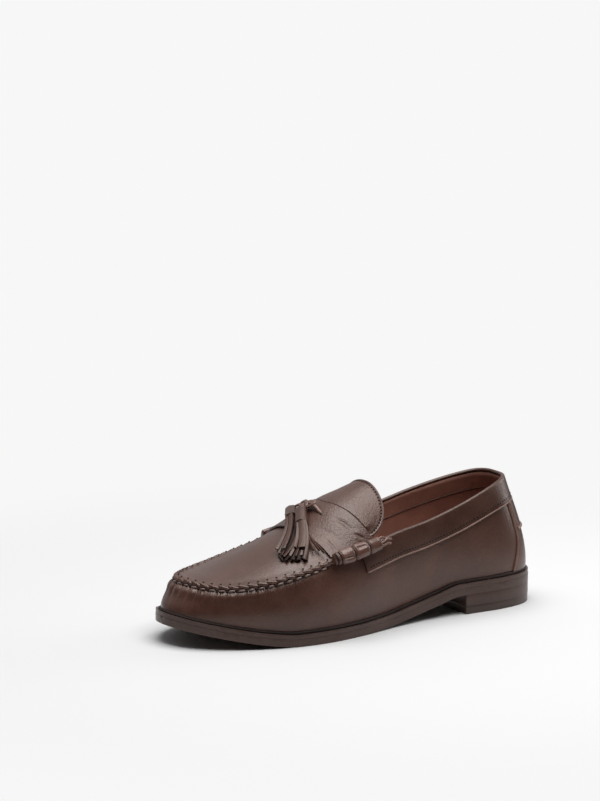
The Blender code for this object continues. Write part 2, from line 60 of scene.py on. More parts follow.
# the last, in the same shares as the solids: once round from the heel along the outer
# side to the toe and back; lengths by length, widths by width, heights by collar
last = {
    "length": 0.300, "width": 0.107, "collar": 0.0945, "toeSpring": 0.0145, "heelSeat": 0.0150,
    "outsole": 0.0050, "welt": 0.0032, "gap": 0.0003, "weltLedge": 0.0038, "heelLedge": 0.0034,
    "ledgeChange": (0.12, 0.42), "ballEnd": 0.74, "springPower": 1.35, "swellHeight": 0.30,
    "crownPower": 2.3, "wall": 0.0018, "perRow": 3,
    "names": ("footAlong", "footOut", "topAlong", "topOut", "topUp"),
    "rows": (
        (0.000, 0.000, 0.073, 0.000, 0.986), (0.018, -0.165, 0.082, -0.110, 0.988),
        (0.060, -0.268, 0.110, -0.190, 0.973), (0.130, -0.318, 0.165, -0.247, 0.925),
        (0.230, -0.326, 0.250, -0.282, 0.840), (0.340, -0.335, 0.345, -0.315, 0.765),
        (0.450, -0.382, 0.440, -0.347, 0.715), (0.550, -0.454, 0.535, -0.392, 0.652),
        (0.640, -0.500, 0.625, -0.423, 0.600), (0.730, -0.498, 0.720, -0.418, 0.533),
        (0.820, -0.440, 0.800, -0.368, 0.480), (0.900, -0.335, 0.868, -0.271, 0.450),
        (0.960, -0.205, 0.915, -0.155, 0.450), (0.990, -0.070, 0.938, -0.033, 0.460),
        (1.000, 0.060, 0.945, 0.070, 0.462), (0.990, 0.185, 0.938, 0.167, 0.458),
        (0.960, 0.300, 0.913, 0.260, 0.455), (0.900, 0.405, 0.865, 0.345, 0.456),
        (0.820, 0.470, 0.800, 0.392, 0.480), (0.730, 0.497, 0.720, 0.416, 0.530),
        (0.650, 0.470, 0.635, 0.407, 0.595), (0.560, 0.385, 0.550, 0.378, 0.645),
        (0.460, 0.305, 0.455, 0.341, 0.696), (0.360, 0.280, 0.360, 0.308, 0.772),
        (0.250, 0.300, 0.270, 0.280, 0.855), (0.140, 0.318, 0.178, 0.248, 0.924),
        (0.060, 0.268, 0.110, 0.190, 0.972), (0.018, 0.165, 0.082, 0.110, 0.988)),
    "swell": ((0.00, 0.018, 0.058), (0.06, 0.034, 0.056), (0.14, 0.046, 0.034), (0.25, 0.055, 0.030),
              (0.50, 0.050, 0.040), (0.70, 0.045, 0.060), (0.88, 0.024, 0.058), (1.00, 0.008, 0.045)),
    "crown": ((0.44, 0.370), (0.50, 0.345), (0.58, 0.270), (0.63, 0.195), (0.67, 0.155),
              (0.73, 0.123), (0.84, 0.060), (0.93, 0.022), (0.95, 0.000)),
    "arch": ((0.00, 1.000), (0.12, 0.985), (0.25, 0.950), (0.32, 0.630), (0.40, 0.300),
             (0.48, 0.065), (0.56, 0.000)),
}
columnCount = len(last["rows"]) * last["perRow"]
toeColumn = columnCount // 2


def unit(vectors):
    return vectors / np.maximum(np.linalg.norm(vectors, axis=-1, keepdims=True), 1e-12)


def ease(share):
    share = np.clip(share, 0.0, 1.0)
    return share * share * (3 - 2 * share)


def fadeOut(place, end, span):
    # 1 up to a span before the end, 0 from the end on
    return ease((end - place) / span)


def hump(place, middle, width):
    return np.exp(-((place - middle) / width) ** 2)


def toEdges(share):
    # the same range, with the points gathered towards both ends
    return 0.5 - 0.5 * np.cos(np.pi * share)


def roundEnds(share, length, power=0.5):
    # 1 along a tube, falling to 0 at both ends
    return np.clip(np.minimum(share, 1 - share) / length, 0.0, 1.0) ** power


def runLengths(points):
    return np.concatenate([[0.0], np.cumsum(np.linalg.norm(np.diff(points, axis=0), axis=1))])


def lastCurve(column, name):
    values = np.array([row[last["names"].index(name)] for row in last["rows"]])
    row = np.asarray(column, float) / last["perRow"]
    i = np.floor(row).astype(int)
    t = row - i
    a, b, c, d = (values[(i + j) % len(values)] for j in (-1, 0, 1, 2))
    return 0.5 * (2 * b + (c - a) * t + (2 * a - 5 * b + 4 * c - d) * t * t
                  + (3 * b - a - 3 * c + d) * t ** 3)


def smoothTable(table, place, column=1):
    table = np.array(table)
    xs, ys = table[:, 0], table[:, column]
    steps = np.diff(xs)
    slopes = np.diff(ys) / steps
    tangents = [slopes[0]]
    for before, after in zip(slopes, slopes[1:]):
        tangents.append(2 * before * after / (before + after) if before * after > 0 else 0.0)
    tangents = np.array(tangents + [slopes[-1]])
    place = np.clip(np.asarray(place, float), xs[0], xs[-1])
    i = np.clip(np.searchsorted(xs, place, side="right") - 1, 0, len(steps) - 1)
    t = (place - xs[i]) / steps[i]
    start = (1 + 2 * t) * (1 - t) ** 2 * ys[i] + t * (1 - t) ** 2 * steps[i] * tangents[i]
    return start + t * t * (3 - 2 * t) * ys[i + 1] - t * t * (1 - t) * steps[i] * tangents[i + 1]


def alongShare(x):
    return 0.5 - x / last["length"]


def edgePoint(column):
    x = (0.5 - lastCurve(column, "footAlong")) * last["length"]
    return np.stack([x, lastCurve(column, "footOut") * last["width"]], -1)


def edgeOut(column):
    column = np.asarray(column, float)
    run = edgePoint(column + 0.5) - edgePoint(column - 0.5)
    return unit(np.stack([-run[..., 1], run[..., 0]], -1))


def soleUnder(x):
    along = alongShare(x)
    rise = np.clip((along - last["ballEnd"]) / (1 - last["ballEnd"]), 0.0, 1.0)
    toe = last["toeSpring"] * rise ** last["springPower"]
    return np.where(along > last["ballEnd"], toe, last["heelSeat"] * smoothTable(last["arch"], along))


def weltTop(x):
    return soleUnder(x) + last["outsole"] + last["gap"] + last["welt"]


def ledgeWidth(along):
    start, end = last["ledgeChange"]
    return last["heelLedge"] + (last["weltLedge"] - last["heelLedge"]) * ease((along - start) / (end - start))


def wallFoot(column):
    flat = edgePoint(column)
    flat = flat - edgeOut(column) * ledgeWidth(alongShare(flat[..., 0]))[..., None]
    return np.concatenate([flat, (weltTop(flat[..., 0]) + last["gap"])[..., None]], -1)


def wallTop(column):
    return np.stack([(0.5 - lastCurve(column, "topAlong")) * last["length"],
                     lastCurve(column, "topOut") * last["width"],
                     lastCurve(column, "topUp") * last["collar"]], -1)


def wallPoint(column, up):
    column, up = np.broadcast_arrays(np.asarray(column, float), np.asarray(up, float))
    foot, top = wallFoot(column), wallTop(column)
    out = np.concatenate([edgeOut(column), np.zeros(column.shape + (1,))], -1)
    along = lastCurve(column, "footAlong")
    rise = np.zeros(column.shape + (3,))
    rise[..., 2] = (top[..., 2] - foot[..., 2]) * last["swellHeight"]
    low = foot + out * (smoothTable(last["swell"], along, 1) * last["width"])[..., None] + rise
    high = top + out * (smoothTable(last["swell"], along, 2) * last["width"])[..., None] - rise
    up = up[..., None]
    down = 1 - up
    return down ** 3 * foot + 3 * down * down * up * low + 3 * down * up * up * high + up ** 3 * top


def wallFrame(column, up):
    column, up = np.broadcast_arrays(np.asarray(column, float), np.asarray(up, float))
    rise = unit(wallPoint(column, np.minimum(up + 0.01, 1.0)) - wallPoint(column, np.maximum(up - 0.01, 0.0)))
    run = wallPoint(column + 0.2, up) - wallPoint(column - 0.2, up)
    return unit(np.cross(rise, run)), rise


def onWall(column, up, lift):
    return wallPoint(column, up) + wallFrame(column, up)[0] * np.asarray(lift)[..., None]


def wallHeight(column):
    ups = np.linspace(0, 1, 13)
    points = wallPoint(np.asarray(column, float)[..., None], ups)
    return np.linalg.norm(np.diff(points, axis=-2), axis=-1).sum(-1)


def apronPoint(rung, across):
    rung, across = np.broadcast_arrays(np.asarray(rung, float), np.asarray(across, float))
    outer, inner = wallTop(toeColumn - rung), wallTop(toeColumn + rung)
    point = outer + (inner - outer) * across[..., None]
    along = alongShare(0.5 * (outer[..., 0] + inner[..., 0]))
    bump = 1 - np.abs(2 * across - 1) ** last["crownPower"]
    point[..., 2] += smoothTable(last["crown"], along) * last["collar"] * bump
    return point


def apronOut(rung, across):
    rung, across = np.broadcast_arrays(np.asarray(rung, float), np.asarray(across, float))
    side = apronPoint(rung, np.minimum(across + 0.02, 1.0)) - apronPoint(rung, np.maximum(across - 0.02, 0.0))
    back = apronPoint(rung + 0.4, across) - apronPoint(np.maximum(rung - 0.4, 0.05), across)
    normal = unit(np.cross(back, side))
    return normal * np.where(normal[..., 2:] > 0, 1.0, -1.0)


def onApron(rung, across, lift):
    return apronPoint(rung, across) + apronOut(rung, across) * np.asarray(lift)[..., None]


# making pieces
def finishPiece(bm, name, material, replaced=(), thickness=0.0, offset=-1.0, bevel=0.0, sharp=60.0,
                evenWall=True):
    mesh = bpy.data.meshes.new(name)
    bm.to_mesh(mesh)
    bm.free()
    mesh.shade_smooth()
    mesh.set_sharp_from_angle(angle=math.radians(sharp))
    mesh.materials.append(material)
    piece = bpy.data.objects.new(name, mesh)
    bpy.context.scene.collection.objects.link(piece)
    if thickness:
        wall = piece.modifiers.new("thickness", "SOLIDIFY")
        wall.thickness = thickness
        wall.offset = offset
        wall.use_even_offset = evenWall
    if bevel:
        edge = piece.modifiers.new("edge", "BEVEL")
        edge.width = bevel
        edge.segments = 2
        edge.limit_method = "ANGLE"
        edge.angle_limit = math.radians(50)
    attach(piece, rootBody)
    if replaced:
        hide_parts(*replaced)
    return piece


def addSheet(bm, cells, place):
    grid = bmesh.ops.create_grid(bm, x_segments=cells[0], y_segments=cells[1], size=0.5, calc_uvs=True)
    made = grid["verts"]
    spots = np.array([vert.co[:2] for vert in made]) + 0.5
    points, outs = place(spots[:, 0], spots[:, 1])
    for vert, point in zip(made, points):
        vert.co = point
    return made, outs


def gridSheet(cells, place, merge=False):
    bm = bmesh.new()
    bm.loops.layers.uv.new("UVMap")
    made, outs = addSheet(bm, cells, place)
    bm.normal_update()
    normals = np.array([vert.normal[:] for vert in made])
    if (normals * outs).sum() < 0:
        bmesh.ops.reverse_faces(bm, faces=bm.faces)
    if merge:
        bmesh.ops.remove_doubles(bm, verts=bm.verts, dist=2e-6)
    return bm


def placeMatrix(centre, ahead, out, sizes):
    ahead = Vector(ahead).normalized()
    out = Vector(out)
    out = (out - ahead * out.dot(ahead)).normalized()
    side = out.cross(ahead)
    turn = Matrix((ahead, side, out)).transposed().to_4x4()
    return Matrix.Translation(Vector(centre)) @ turn @ Matrix.Diagonal((*sizes, 1.0))


def addBead(bm, centre, ahead, out, sizes, segments=8, rings=6):
    bmesh.ops.create_uvsphere(bm, u_segments=segments, v_segments=rings, radius=1.0,
                              matrix=placeMatrix(centre, ahead, out, sizes))


def tubeSheet(path, outs, shape, around):
    # a tube along a path: shape gives how far a point stands sideways and outwards
    ahead = unit(np.gradient(path, axis=0))
    outs = unit(outs - ahead * (outs * ahead).sum(-1, keepdims=True))
    sides = np.cross(outs, ahead)

    def place(u, v):
        k = np.rint(u * (len(path) - 1)).astype(int)
        across, rise = shape(u, 2 * np.pi * v)
        points = path[k] + sides[k] * across[:, None] + outs[k] * rise[:, None]
        return points, points - path[k]

    bm = gridSheet((len(path) - 1, around), place, merge=True)
    rims = [edge for edge in bm.edges if edge.is_boundary]
    if rims:
        bmesh.ops.holes_fill(bm, edges=rims)
    return bm


# finishes
def startMaterial(name):
    material = bpy.data.materials.new(name)
    material.use_nodes = True
    tree = material.node_tree
    return material, tree, tree.nodes["Principled BSDF"]


def addNode(tree, kind, values=(), **settings):
    node = tree.nodes.new("ShaderNode" + kind)
    for key, value in settings.items():
        setattr(node, key, value)
    for key, value in dict(values).items():
        node.inputs[key].default_value = value
    return node


def join(source, output, target, entry):
    source.id_data.links.new(source.outputs[output], target.inputs[entry])


def colourRamp(tree, stops):
    ramp = addNode(tree, "ValToRGB")
    while len(ramp.color_ramp.elements) < len(stops):
        ramp.color_ramp.elements.new(0.5)
    for element, (place, colour) in zip(ramp.color_ramp.elements, stops):
        element.position = place
        element.color = (*colour, 1.0)
    return ramp


def addBump(tree, pattern, output, distance, strength, below=None):
    bump = addNode(tree, "Bump", {"Strength": strength, "Distance": distance})
    join(pattern, output, bump, "Height")
    if below is not None:
        join(below, "Normal", bump, "Normal")
    return bump


def leatherFinish(name, look):
    material, tree, shader = startMaterial(name)
    place = addNode(tree, "TexCoord")
    mottle = addNode(tree, "TexNoise", {"Scale": 38.0, "Detail": 5.0, "Roughness": 0.55})
    speckle = addNode(tree, "TexNoise", {"Scale": 520.0, "Detail": 2.0, "Roughness": 0.6})
    cells = addNode(tree, "TexVoronoi", {"Scale": look["grain"], "Randomness": 1.0}, feature="F1")
    pores = addNode(tree, "TexVoronoi", {"Scale": look["grain"] * 0.43, "Randomness": 1.0}, feature="F1")
    folds = addNode(tree, "TexNoise", {"Scale": 150.0, "Detail": 3.0, "Roughness": 0.5, "Distortion": 0.6})
    for node in (mottle, speckle, cells, pores, folds):
        join(place, "Object", node, "Vector")
    tint = addNode(tree, "Mix", {"Factor": 0.28}, data_type="FLOAT")
    join(mottle, "Fac", tint, "A")
    join(speckle, "Fac", tint, "B")
    ramp = colourRamp(tree, ((0.33, look["dark"]), (0.52, look["colour"]), (0.70, look["light"])))
    join(tint, "Result", ramp, "Fac")
    join(ramp, "Color", shader, "Base Color")
    gloss = addNode(tree, "MapRange", {"From Min": 0.3, "From Max": 0.7, "To Min": look["rough"] - 0.04,
                                       "To Max": look["rough"] + 0.07})
    join(mottle, "Fac", gloss, "Value")
    join(gloss, "Result", shader, "Roughness")
    first = addBump(tree, cells, "Distance", look["depth"], look["strength"])
    second = addBump(tree, pores, "Distance", look["depth"] * 1.2, look["strength"] * 0.6, first)
    third = addBump(tree, folds, "Fac", look["wrinkle"], look["strength"] * 0.5, second)
    join(third, "Normal", shader, "Normal")
    shader.inputs["Coat Weight"].default_value = look["coat"]
    shader.inputs["Coat Roughness"].default_value = look["coatRough"]
    shader.inputs["Specular IOR Level"].default_value = look["shine"]
    shader.inputs["Specular Tint"].default_value = (1.0, 0.90, 0.85, 1.0)
    return material


calf = {"dark": (0.044, 0.017, 0.0105), "colour": (0.060, 0.0235, 0.0155), "light": (0.081, 0.033, 0.022),
        "grain": 1050.0, "depth": 0.00011, "wrinkle": 0.00015, "strength": 0.62, "rough": 0.35, "coat": 0.0,
        "coatRough": 0.20, "shine": 0.53}
upperLeather = leatherFinish("calfUpper", calf)
grainLeather = leatherFinish("calfGrained", {**calf, "grain": 1150.0, "strength": 0.9, "depth": 0.00016,
                                             "wrinkle": 0.00010, "rough": 0.34})
bandLeather = leatherFinish("calfBand", {**calf, "dark": (0.036, 0.013, 0.008),
                                         "colour": (0.048, 0.018, 0.011), "light": (0.063, 0.025, 0.016)})
stripLeather = leatherFinish("calfStrips", {**calf, "dark": (0.036, 0.013, 0.008), "colour": (0.050, 0.019, 0.012),
                                            "light": (0.070, 0.029, 0.019), "strength": 0.5, "rough": 0.38,
                                            "shine": 0.44})
# near-black leather for the lower tassel strips: painted shade standing in for the shadow under the top strips
shadedStripLeather = leatherFinish("stripPaintedShade", {**calf, "dark": (0.008, 0.004, 0.003),
                                                "colour": (0.014, 0.007, 0.005), "light": (0.026, 0.013, 0.009),
                                                "rough": 0.60, "shine": 0.20})
# lighter calf for the rolls and the laces: painted light, standing in for the light on their up-facing tops
rollLeatherPaintedLight = leatherFinish("calfRollsPaintedLight", {**calf, "dark": (0.070, 0.029, 0.020), "colour": (0.094, 0.041, 0.029),
                                          "light": (0.125, 0.058, 0.042), "rough": 0.34, "coat": 0.20,
                                          "coatRough": 0.30, "shine": 0.5})
# light tan for the pipings, the tab seam and the lace ends, lightened partly as painted highlight on these raised
# edges
pipingTanPaintedHighlight = leatherFinish("pipingTanPaintedHighlight", {**calf, "dark": (0.110, 0.055, 0.041),
                                                "colour": (0.158, 0.084, 0.064), "light": (0.21, 0.118, 0.092)})
# lining leather much lighter than the upper: painted light, making up for the little light that reaches inside the
# collar
liningLeatherPaintedLight = leatherFinish("liningLeatherPaintedLight", {
    "dark": (0.205, 0.092, 0.064), "colour": (0.260, 0.118, 0.084), "light": (0.315, 0.148, 0.106),
    "grain": 1500.0, "depth": 0.00007, "wrinkle": 0.00018, "strength": 0.35, "rough": 0.62, "coat": 0.0,
    "coatRough": 0.3, "shine": 0.35})
facingLeather = leatherFinish("facingEdge", {**calf, "dark": (0.030, 0.012, 0.008),
                                             "colour": (0.045, 0.018, 0.012), "light": (0.070, 0.030, 0.021),
                                             "rough": 0.5, "shine": 0.35})
edgeDressing = leatherFinish("edgeDressing", {
    "dark": (0.040, 0.022, 0.017), "colour": (0.054, 0.031, 0.025), "light": (0.070, 0.042, 0.035),
    "grain": 700.0, "depth": 0.00005, "wrinkle": 0.00013, "strength": 0.25, "rough": 0.40, "coat": 0.0,
    "coatRough": 0.32, "shine": 0.40})
heelRubber = leatherFinish("heelRubber", {
    "dark": (0.032, 0.019, 0.014), "colour": (0.043, 0.026, 0.021), "light": (0.057, 0.036, 0.029),
    "grain": 1600.0, "depth": 0.00006, "wrinkle": 0.00016, "strength": 0.4, "rough": 0.46, "coat": 0.15,
    "coatRough": 0.3, "shine": 0.4})
threadWax = leatherFinish("waxedThread", {**calf, "dark": (0.085, 0.046, 0.036), "colour": (0.120, 0.068, 0.054),
                                          "light": (0.160, 0.095, 0.078), "grain": 2600.0, "rough": 0.36,
                                          "coat": 0.2, "coatRough": 0.3})
# near-black: dark thread for the stitches and ties, and painted shade where it fills stitch holes, the lace slot
# and the groove at the wall's foot
darkThreadAndShade = leatherFinish("darkThreadAndShade", {**calf, "dark": (0.006, 0.003, 0.003), "colour": (0.010, 0.006, 0.005),
                                          "light": (0.018, 0.010, 0.008), "grain": 2600.0, "rough": 0.6,
                                          "shine": 0.2})
print("finishes ready")

# the hand-sewn seam: where it runs and how far round it each point is
seam = {"reach": 17.9, "samples": 1401, "pitch": 0.0068, "seed": 11, "sizes": (0.75, 0.5),
        "reaches": (0.6, 0.9)}
seamColumns = np.linspace(toeColumn - seam["reach"], toeColumn + seam["reach"], seam["samples"])
seamPath = wallTop(seamColumns)
seamArc = runLengths(seamPath)
stitchCount = int(round(seamArc[-1] / seam["pitch"]))
seamPitch = seamArc[-1] / stitchCount
chance = np.random.default_rng(seam["seed"])
stitchSize, stitchReach = (least + spread * chance.random(stitchCount + 2)
                           for least, spread in (seam["sizes"], seam["reaches"]))
seamRungs = np.abs(seamColumns - toeColumn)
seamSides = np.sign(seamColumns - toeColumn + 1e-9)
seamOuts = unit(wallFrame(seamColumns, np.ones_like(seamColumns))[0]
                + apronOut(np.maximum(seamRungs, 1.0), 0.5 + 0.5 * seamSides))


def nearestOn(points, line):
    # distance to the nearest point of a line, and which one it is
    found = []
    for chunk in np.array_split(points, max(1, len(points) // 4000)):
        gaps = np.linalg.norm(chunk[:, None, :] - line[None, :, :], axis=-1)
        best = gaps.argmin(1)
        found.append(np.stack([gaps[np.arange(len(chunk)), best], best], -1))
    found = np.concatenate(found)
    return found[:, 0], found[:, 1].astype(int)


def seamNear(points):
    distance, best = nearestOn(points, seamPath[::3])
    return distance, seamArc[::3][best]


def perStitch(values, arc):
    place = np.clip(arc / seamPitch, 0, stitchCount)
    return np.interp(place, np.arange(len(values)), values)


def gather(arc):
    # 0 at a stitch, 1 where the leather stands out between two
    return np.abs(np.sin(np.pi * arc / seamPitch)) ** 0.7


def creases(arc, lengths, seed):
    # sharp little folds of uneven strength, side by side along the seam
    dice = np.random.default_rng(seed)
    total = np.zeros(len(arc))
    for length in lengths:
        count = int(seamArc[-1] / length) + 2
        strength = dice.random(count + 1)
        shift = arc + 0.3 * length * np.sin(arc * 2 * np.pi / (3.7 * length) + dice.random() * 6.28)
        wave = 1 - 2 * np.abs(np.sin(np.pi * shift / length)) ** 0.8
        total += wave * np.interp(shift / length, np.arange(count + 1), strength)
    return total / len(lengths)


def ripple(points, waves, seed):
    # slow undulation of hand-lasted leather, from a few seeded waves
    dice = np.random.default_rng(seed)
    total = np.zeros(len(points))
    for length in waves:
        for _ in range(3):
            turn = unit(dice.normal(size=3))
            total += np.sin(points @ turn * 2 * np.pi / length + dice.random() * 6.28)
    return total / (3 * len(waves))


# vamp wall and quarters
vampWall = {"cells": (1100, 40), "frontColumns": (22.0, 62.0), "frontShare": 0.84, "rowPower": 1.9,
            "pucker": 0.00085, "puckerReach": 0.0040, "fan": 0.00115, "fanStart": 0.0024, "fanReach": 0.0080,
            "fanLengths": (0.0046, 0.0029, 0.0021), "fanSeed": 17, "shoulder": 0.0012, "shoulderAt": 0.0068,
            "shoulderWidth": 0.0036, "seamFade": (17.6, 1.2), "toeFade": (14.0, 9.0), "sideShare": 0.45,
            "dent": 0.00014, "waves": (0.028, 0.047), "waveSeed": 5, "calmFoot": 0.2, "calmTop": (0.62, 0.2),
            "calmFrom": 17.0, "thickness": 0.0012}


def wallPlace(u, v):
    near, far = vampWall["frontColumns"]
    side = (1 - vampWall["frontShare"]) / 2
    column = np.interp(u, (0.0, side, 1 - side, 1.0), (0.0, near, far, columnCount))
    up = 1 - (1 - v) ** vampWall["rowPower"]
    out = wallFrame(column, up)[0]
    points = wallPoint(column, up)
    below = wallHeight(column) * (1 - up)
    arc = np.interp(column, seamColumns, seamArc)
    fromToe = np.abs(column - toeColumn)
    inside = fadeOut(fromToe, *vampWall["seamFade"])
    toeward = vampWall["sideShare"] + (1 - vampWall["sideShare"]) * fadeOut(fromToe, *vampWall["toeFade"])
    reach = vampWall["puckerReach"] * perStitch(stitchReach, arc)
    pucker = (gather(arc) - 0.62) * perStitch(stitchSize, arc) * np.exp(-below / reach)
    fan = creases(arc, vampWall["fanLengths"], vampWall["fanSeed"]) * np.exp(-below / vampWall["fanReach"])
    fan *= ease(below / vampWall["fanStart"]) * perStitch(stitchReach, arc + 0.002)
    calm = np.where(fromToe < vampWall["calmFrom"], 1.0, fadeOut(up, *vampWall["calmTop"]))
    calm = calm * ease(up / vampWall["calmFoot"])
    shoulder = hump(below, vampWall["shoulderAt"], vampWall["shoulderWidth"])
    shoulder *= 0.5 + 0.8 * gather(arc) * perStitch(stitchSize, arc)
    gathered = vampWall["pucker"] * pucker + vampWall["fan"] * fan + vampWall["shoulder"] * shoulder
    lift = inside * toeward * gathered
    lift = lift + vampWall["dent"] * calm * ripple(points, vampWall["waves"], vampWall["waveSeed"])
    return points + out * lift[:, None], out


bm = gridSheet(vampWall["cells"], wallPlace, merge=True)
finishPiece(bm, "vampWall", upperLeather, ("upper",), thickness=vampWall["thickness"])

# apron
apronSheet = {"cells": (240, 124), "backRung": 18.4, "rungPower": 1.15, "lip": 0.0007, "lipReach": 0.0075,
              "pucker": 0.00050, "puckerReach": 0.0030, "crease": 0.00024, "creaseLengths": (0.0034, 0.0023),
              "creaseSeed": 23, "dent": 0.00016, "waves": (0.05, 0.033), "waveSeed": 9, "thickness": 0.0012}


def apronPlace(u, v):
    rung = apronSheet["backRung"] * u ** apronSheet["rungPower"]
    across = toEdges(v)
    out = apronOut(rung, across)
    points = apronPoint(rung, across)
    distance, arc = seamNear(points)
    close = ease(1 - distance / apronSheet["lipReach"])
    lift = apronSheet["lip"] * close
    fold = (gather(arc + seamPitch / 2) - 0.6) * perStitch(stitchSize, arc + 0.004)
    lift += apronSheet["pucker"] * fold * np.exp(-distance / apronSheet["puckerReach"])
    lift += apronSheet["crease"] * creases(arc, apronSheet["creaseLengths"], apronSheet["creaseSeed"]) * close ** 2
    lift += apronSheet["dent"] * (1 - close) * ripple(points, apronSheet["waves"], apronSheet["waveSeed"])
    return points + out * lift[:, None], out


bm = gridSheet(apronSheet["cells"], apronPlace, merge=True)
finishPiece(bm, "apron", upperLeather, thickness=apronSheet["thickness"], evenWall=False)

# lining and sock, seen through the collar
lining = {"cells": (336, 20), "vampCells": (60, 30), "inset": 0.0016, "thickness": 0.0003, "top": 0.985,
          "vampRungs": (2.4, 18.2), "vampMargin": 0.02}


def liningPlace(u, v):
    column = u * columnCount
    out = wallFrame(column, v)[0]
    return wallPoint(column, v * lining["top"]) - out * lining["inset"], -out


bm = gridSheet(lining["cells"], liningPlace, merge=True)
finishPiece(bm, "quarterLining", liningLeatherPaintedLight, thickness=lining["thickness"])


def underApron(u, v):
    toe, instep = lining["vampRungs"]
    rung = toe + (instep - toe) * u
    across = lining["vampMargin"] + (1 - 2 * lining["vampMargin"]) * v
    out = apronOut(rung, across)
    return apronPoint(rung, across) - out * lining["inset"], -out


bm = gridSheet(lining["vampCells"], underApron)
finishPiece(bm, "vampLining", liningLeatherPaintedLight, thickness=lining["thickness"])
print("upper and lining made")

# the rolled ridge of the seam with its threads
ridge = {"points": 1150, "around": 22, "halfWidth": 0.00205, "height": 0.0021, "sink": 0.0002,
         "pinch": 0.42, "slant": 0.8, "least": 0.93, "vary": 0.28, "end": 0.004, "crease": 0.05,
         "creaseLengths": (0.0017,), "creaseSeed": 31}
ridgeColumns = np.linspace(toeColumn - seam["reach"], toeColumn + seam["reach"], ridge["points"])
ridgeOuts = np.stack([np.interp(ridgeColumns, seamColumns, seamOuts[:, k]) for k in range(3)], -1)
ridgeArc = np.interp(ridgeColumns, seamColumns, seamArc)


def ridgeShape(u, turn):
    arc = np.interp(u, np.linspace(0, 1, len(ridgeArc)), ridgeArc)
    bulge = gather(arc + ridge["slant"] * seamPitch * np.cos(turn) * 0.5)
    size = 1 - ridge["pinch"] * (1 - bulge)
    size = size * (ridge["least"] + ridge["vary"] * perStitch(stitchSize - seam["sizes"][0], arc))
    folds = creases(arc + 0.001 * np.cos(turn), ridge["creaseLengths"], ridge["creaseSeed"])
    size = size + ridge["crease"] * folds
    ends = roundEnds(u, ridge["end"])
    across = ridge["halfWidth"] * np.cos(turn) * size * ends
    rise = (ridge["height"] * np.sin(turn) * size - ridge["sink"]) * ends
    return across, rise


bm = tubeSheet(wallTop(ridgeColumns), unit(ridgeOuts), ridgeShape, ridge["around"])
finishPiece(bm, "seamRidge", upperLeather)

seamThread = {"length": 0.00235, "thick": 0.00078, "high": 0.00070, "sizes": (0.88, 0.24), "lift": 0.0010,
              "droop": 0.08, "below": 0.0027, "above": 0.0027, "dot": (0.00085, 0.00062, 0.0004),
              "dotLift": 0.00065, "holeShade": (0.0013, 0.00095, 0.0004), "holeShadeLift": 0.00045}


def seamSpot(arc, side):
    # a point beside the ridge: side -1 on the wall, 1 on the apron
    column = np.interp(arc, seamArc, seamColumns)
    here = wallTop(np.array([column - 0.05, column, column + 0.05]))
    ahead = unit(here[2] - here[0])
    rung = abs(column - toeColumn)
    which = 1 if column > toeColumn else -1
    if side < 0:
        drop = seamThread["below"] / wallHeight(np.array([column]))[0]
        point = wallPoint(column, 1 - drop)
        out = wallFrame(column, 1 - drop)[0]
        return point, ahead, out
    out = apronOut(max(rung, 1.0), 0.5 + 0.5 * which)
    top = unit(seamOuts[np.argmin(np.abs(seamColumns - column))])
    inward = unit(np.cross(ahead, top))
    middle = apronPoint(max(rung, 0.6), 0.5)
    if np.dot(inward, middle - here[1]) < 0:
        inward = -inward
    return here[1] + inward * seamThread["above"], ahead, out


beads = bmesh.new()
# near-black beads in the stitch holes on both sides of the ridge: painted shade of the holes
holeShades = bmesh.new()
for k in range(1, stitchCount):
    arc = (k + 0.5) * seamPitch
    point, ahead, out = seamSpot(arc, -1)
    size = seamThread["sizes"][0] + seamThread["sizes"][1] * chance.random()
    tilt = unit(ahead + np.array([0, 0, -seamThread["droop"]]))
    addBead(beads, point + out * seamThread["lift"], tilt, out,
            (seamThread["length"] * size, seamThread["thick"] * size, seamThread["high"]), 12, 8)
    point, ahead, out = seamSpot(k * seamPitch, -1)
    addBead(holeShades, point + out * seamThread["holeShadeLift"], ahead, out, seamThread["holeShade"])
    point, ahead, out = seamSpot((k - 0.25) * seamPitch, 1)
    addBead(holeShades, point + out * seamThread["dotLift"], ahead, out, seamThread["dot"])
finishPiece(beads, "seamStitches", threadWax)
finishPiece(holeShades, "seamHoleShades", darkThreadAndShade)
print("seam sewn with", stitchCount, "stitches")

# saddle strap and tongue: the strap's edge is set first, because the tongue is padded behind it
saddleStrap = {"cells": (72, 150), "front": 17.2, "frontCurve": 0.5, "rear": 20.2, "rearCurve": 1.6,
               "lift": 0.0020, "thickness": 0.0014, "bevel": 0.0005, "width": 0.090, "margin": 0.0022,
               "rung": 0.011, "dent": 0.00022, "waves": (0.03, 0.019), "waveSeed": 21, "foldSteps": 24,
               "folds": (((19.60, 0.260), (20.30, 0.110), 0.0040, 0.00050),
                         ((20.30, 0.090), (20.95, 0.045), 0.0024, 0.00045),
                         ((18.10, 0.150), (18.25, 0.045), 0.0024, 0.00025),
                         ((19.40, 0.800), (20.10, 0.900), 0.0036, 0.00035),
                         ((18.20, 0.280), (18.90, 0.100), 0.0050, 0.00020))}


def saddleSpot(row, across):
    lean = np.abs(2 * across - 1)
    front = saddleStrap["front"] + saddleStrap["frontCurve"] * lean ** 2
    rear = saddleStrap["rear"] + saddleStrap["rearCurve"] * lean ** 1.6
    return front + (rear - front) * row


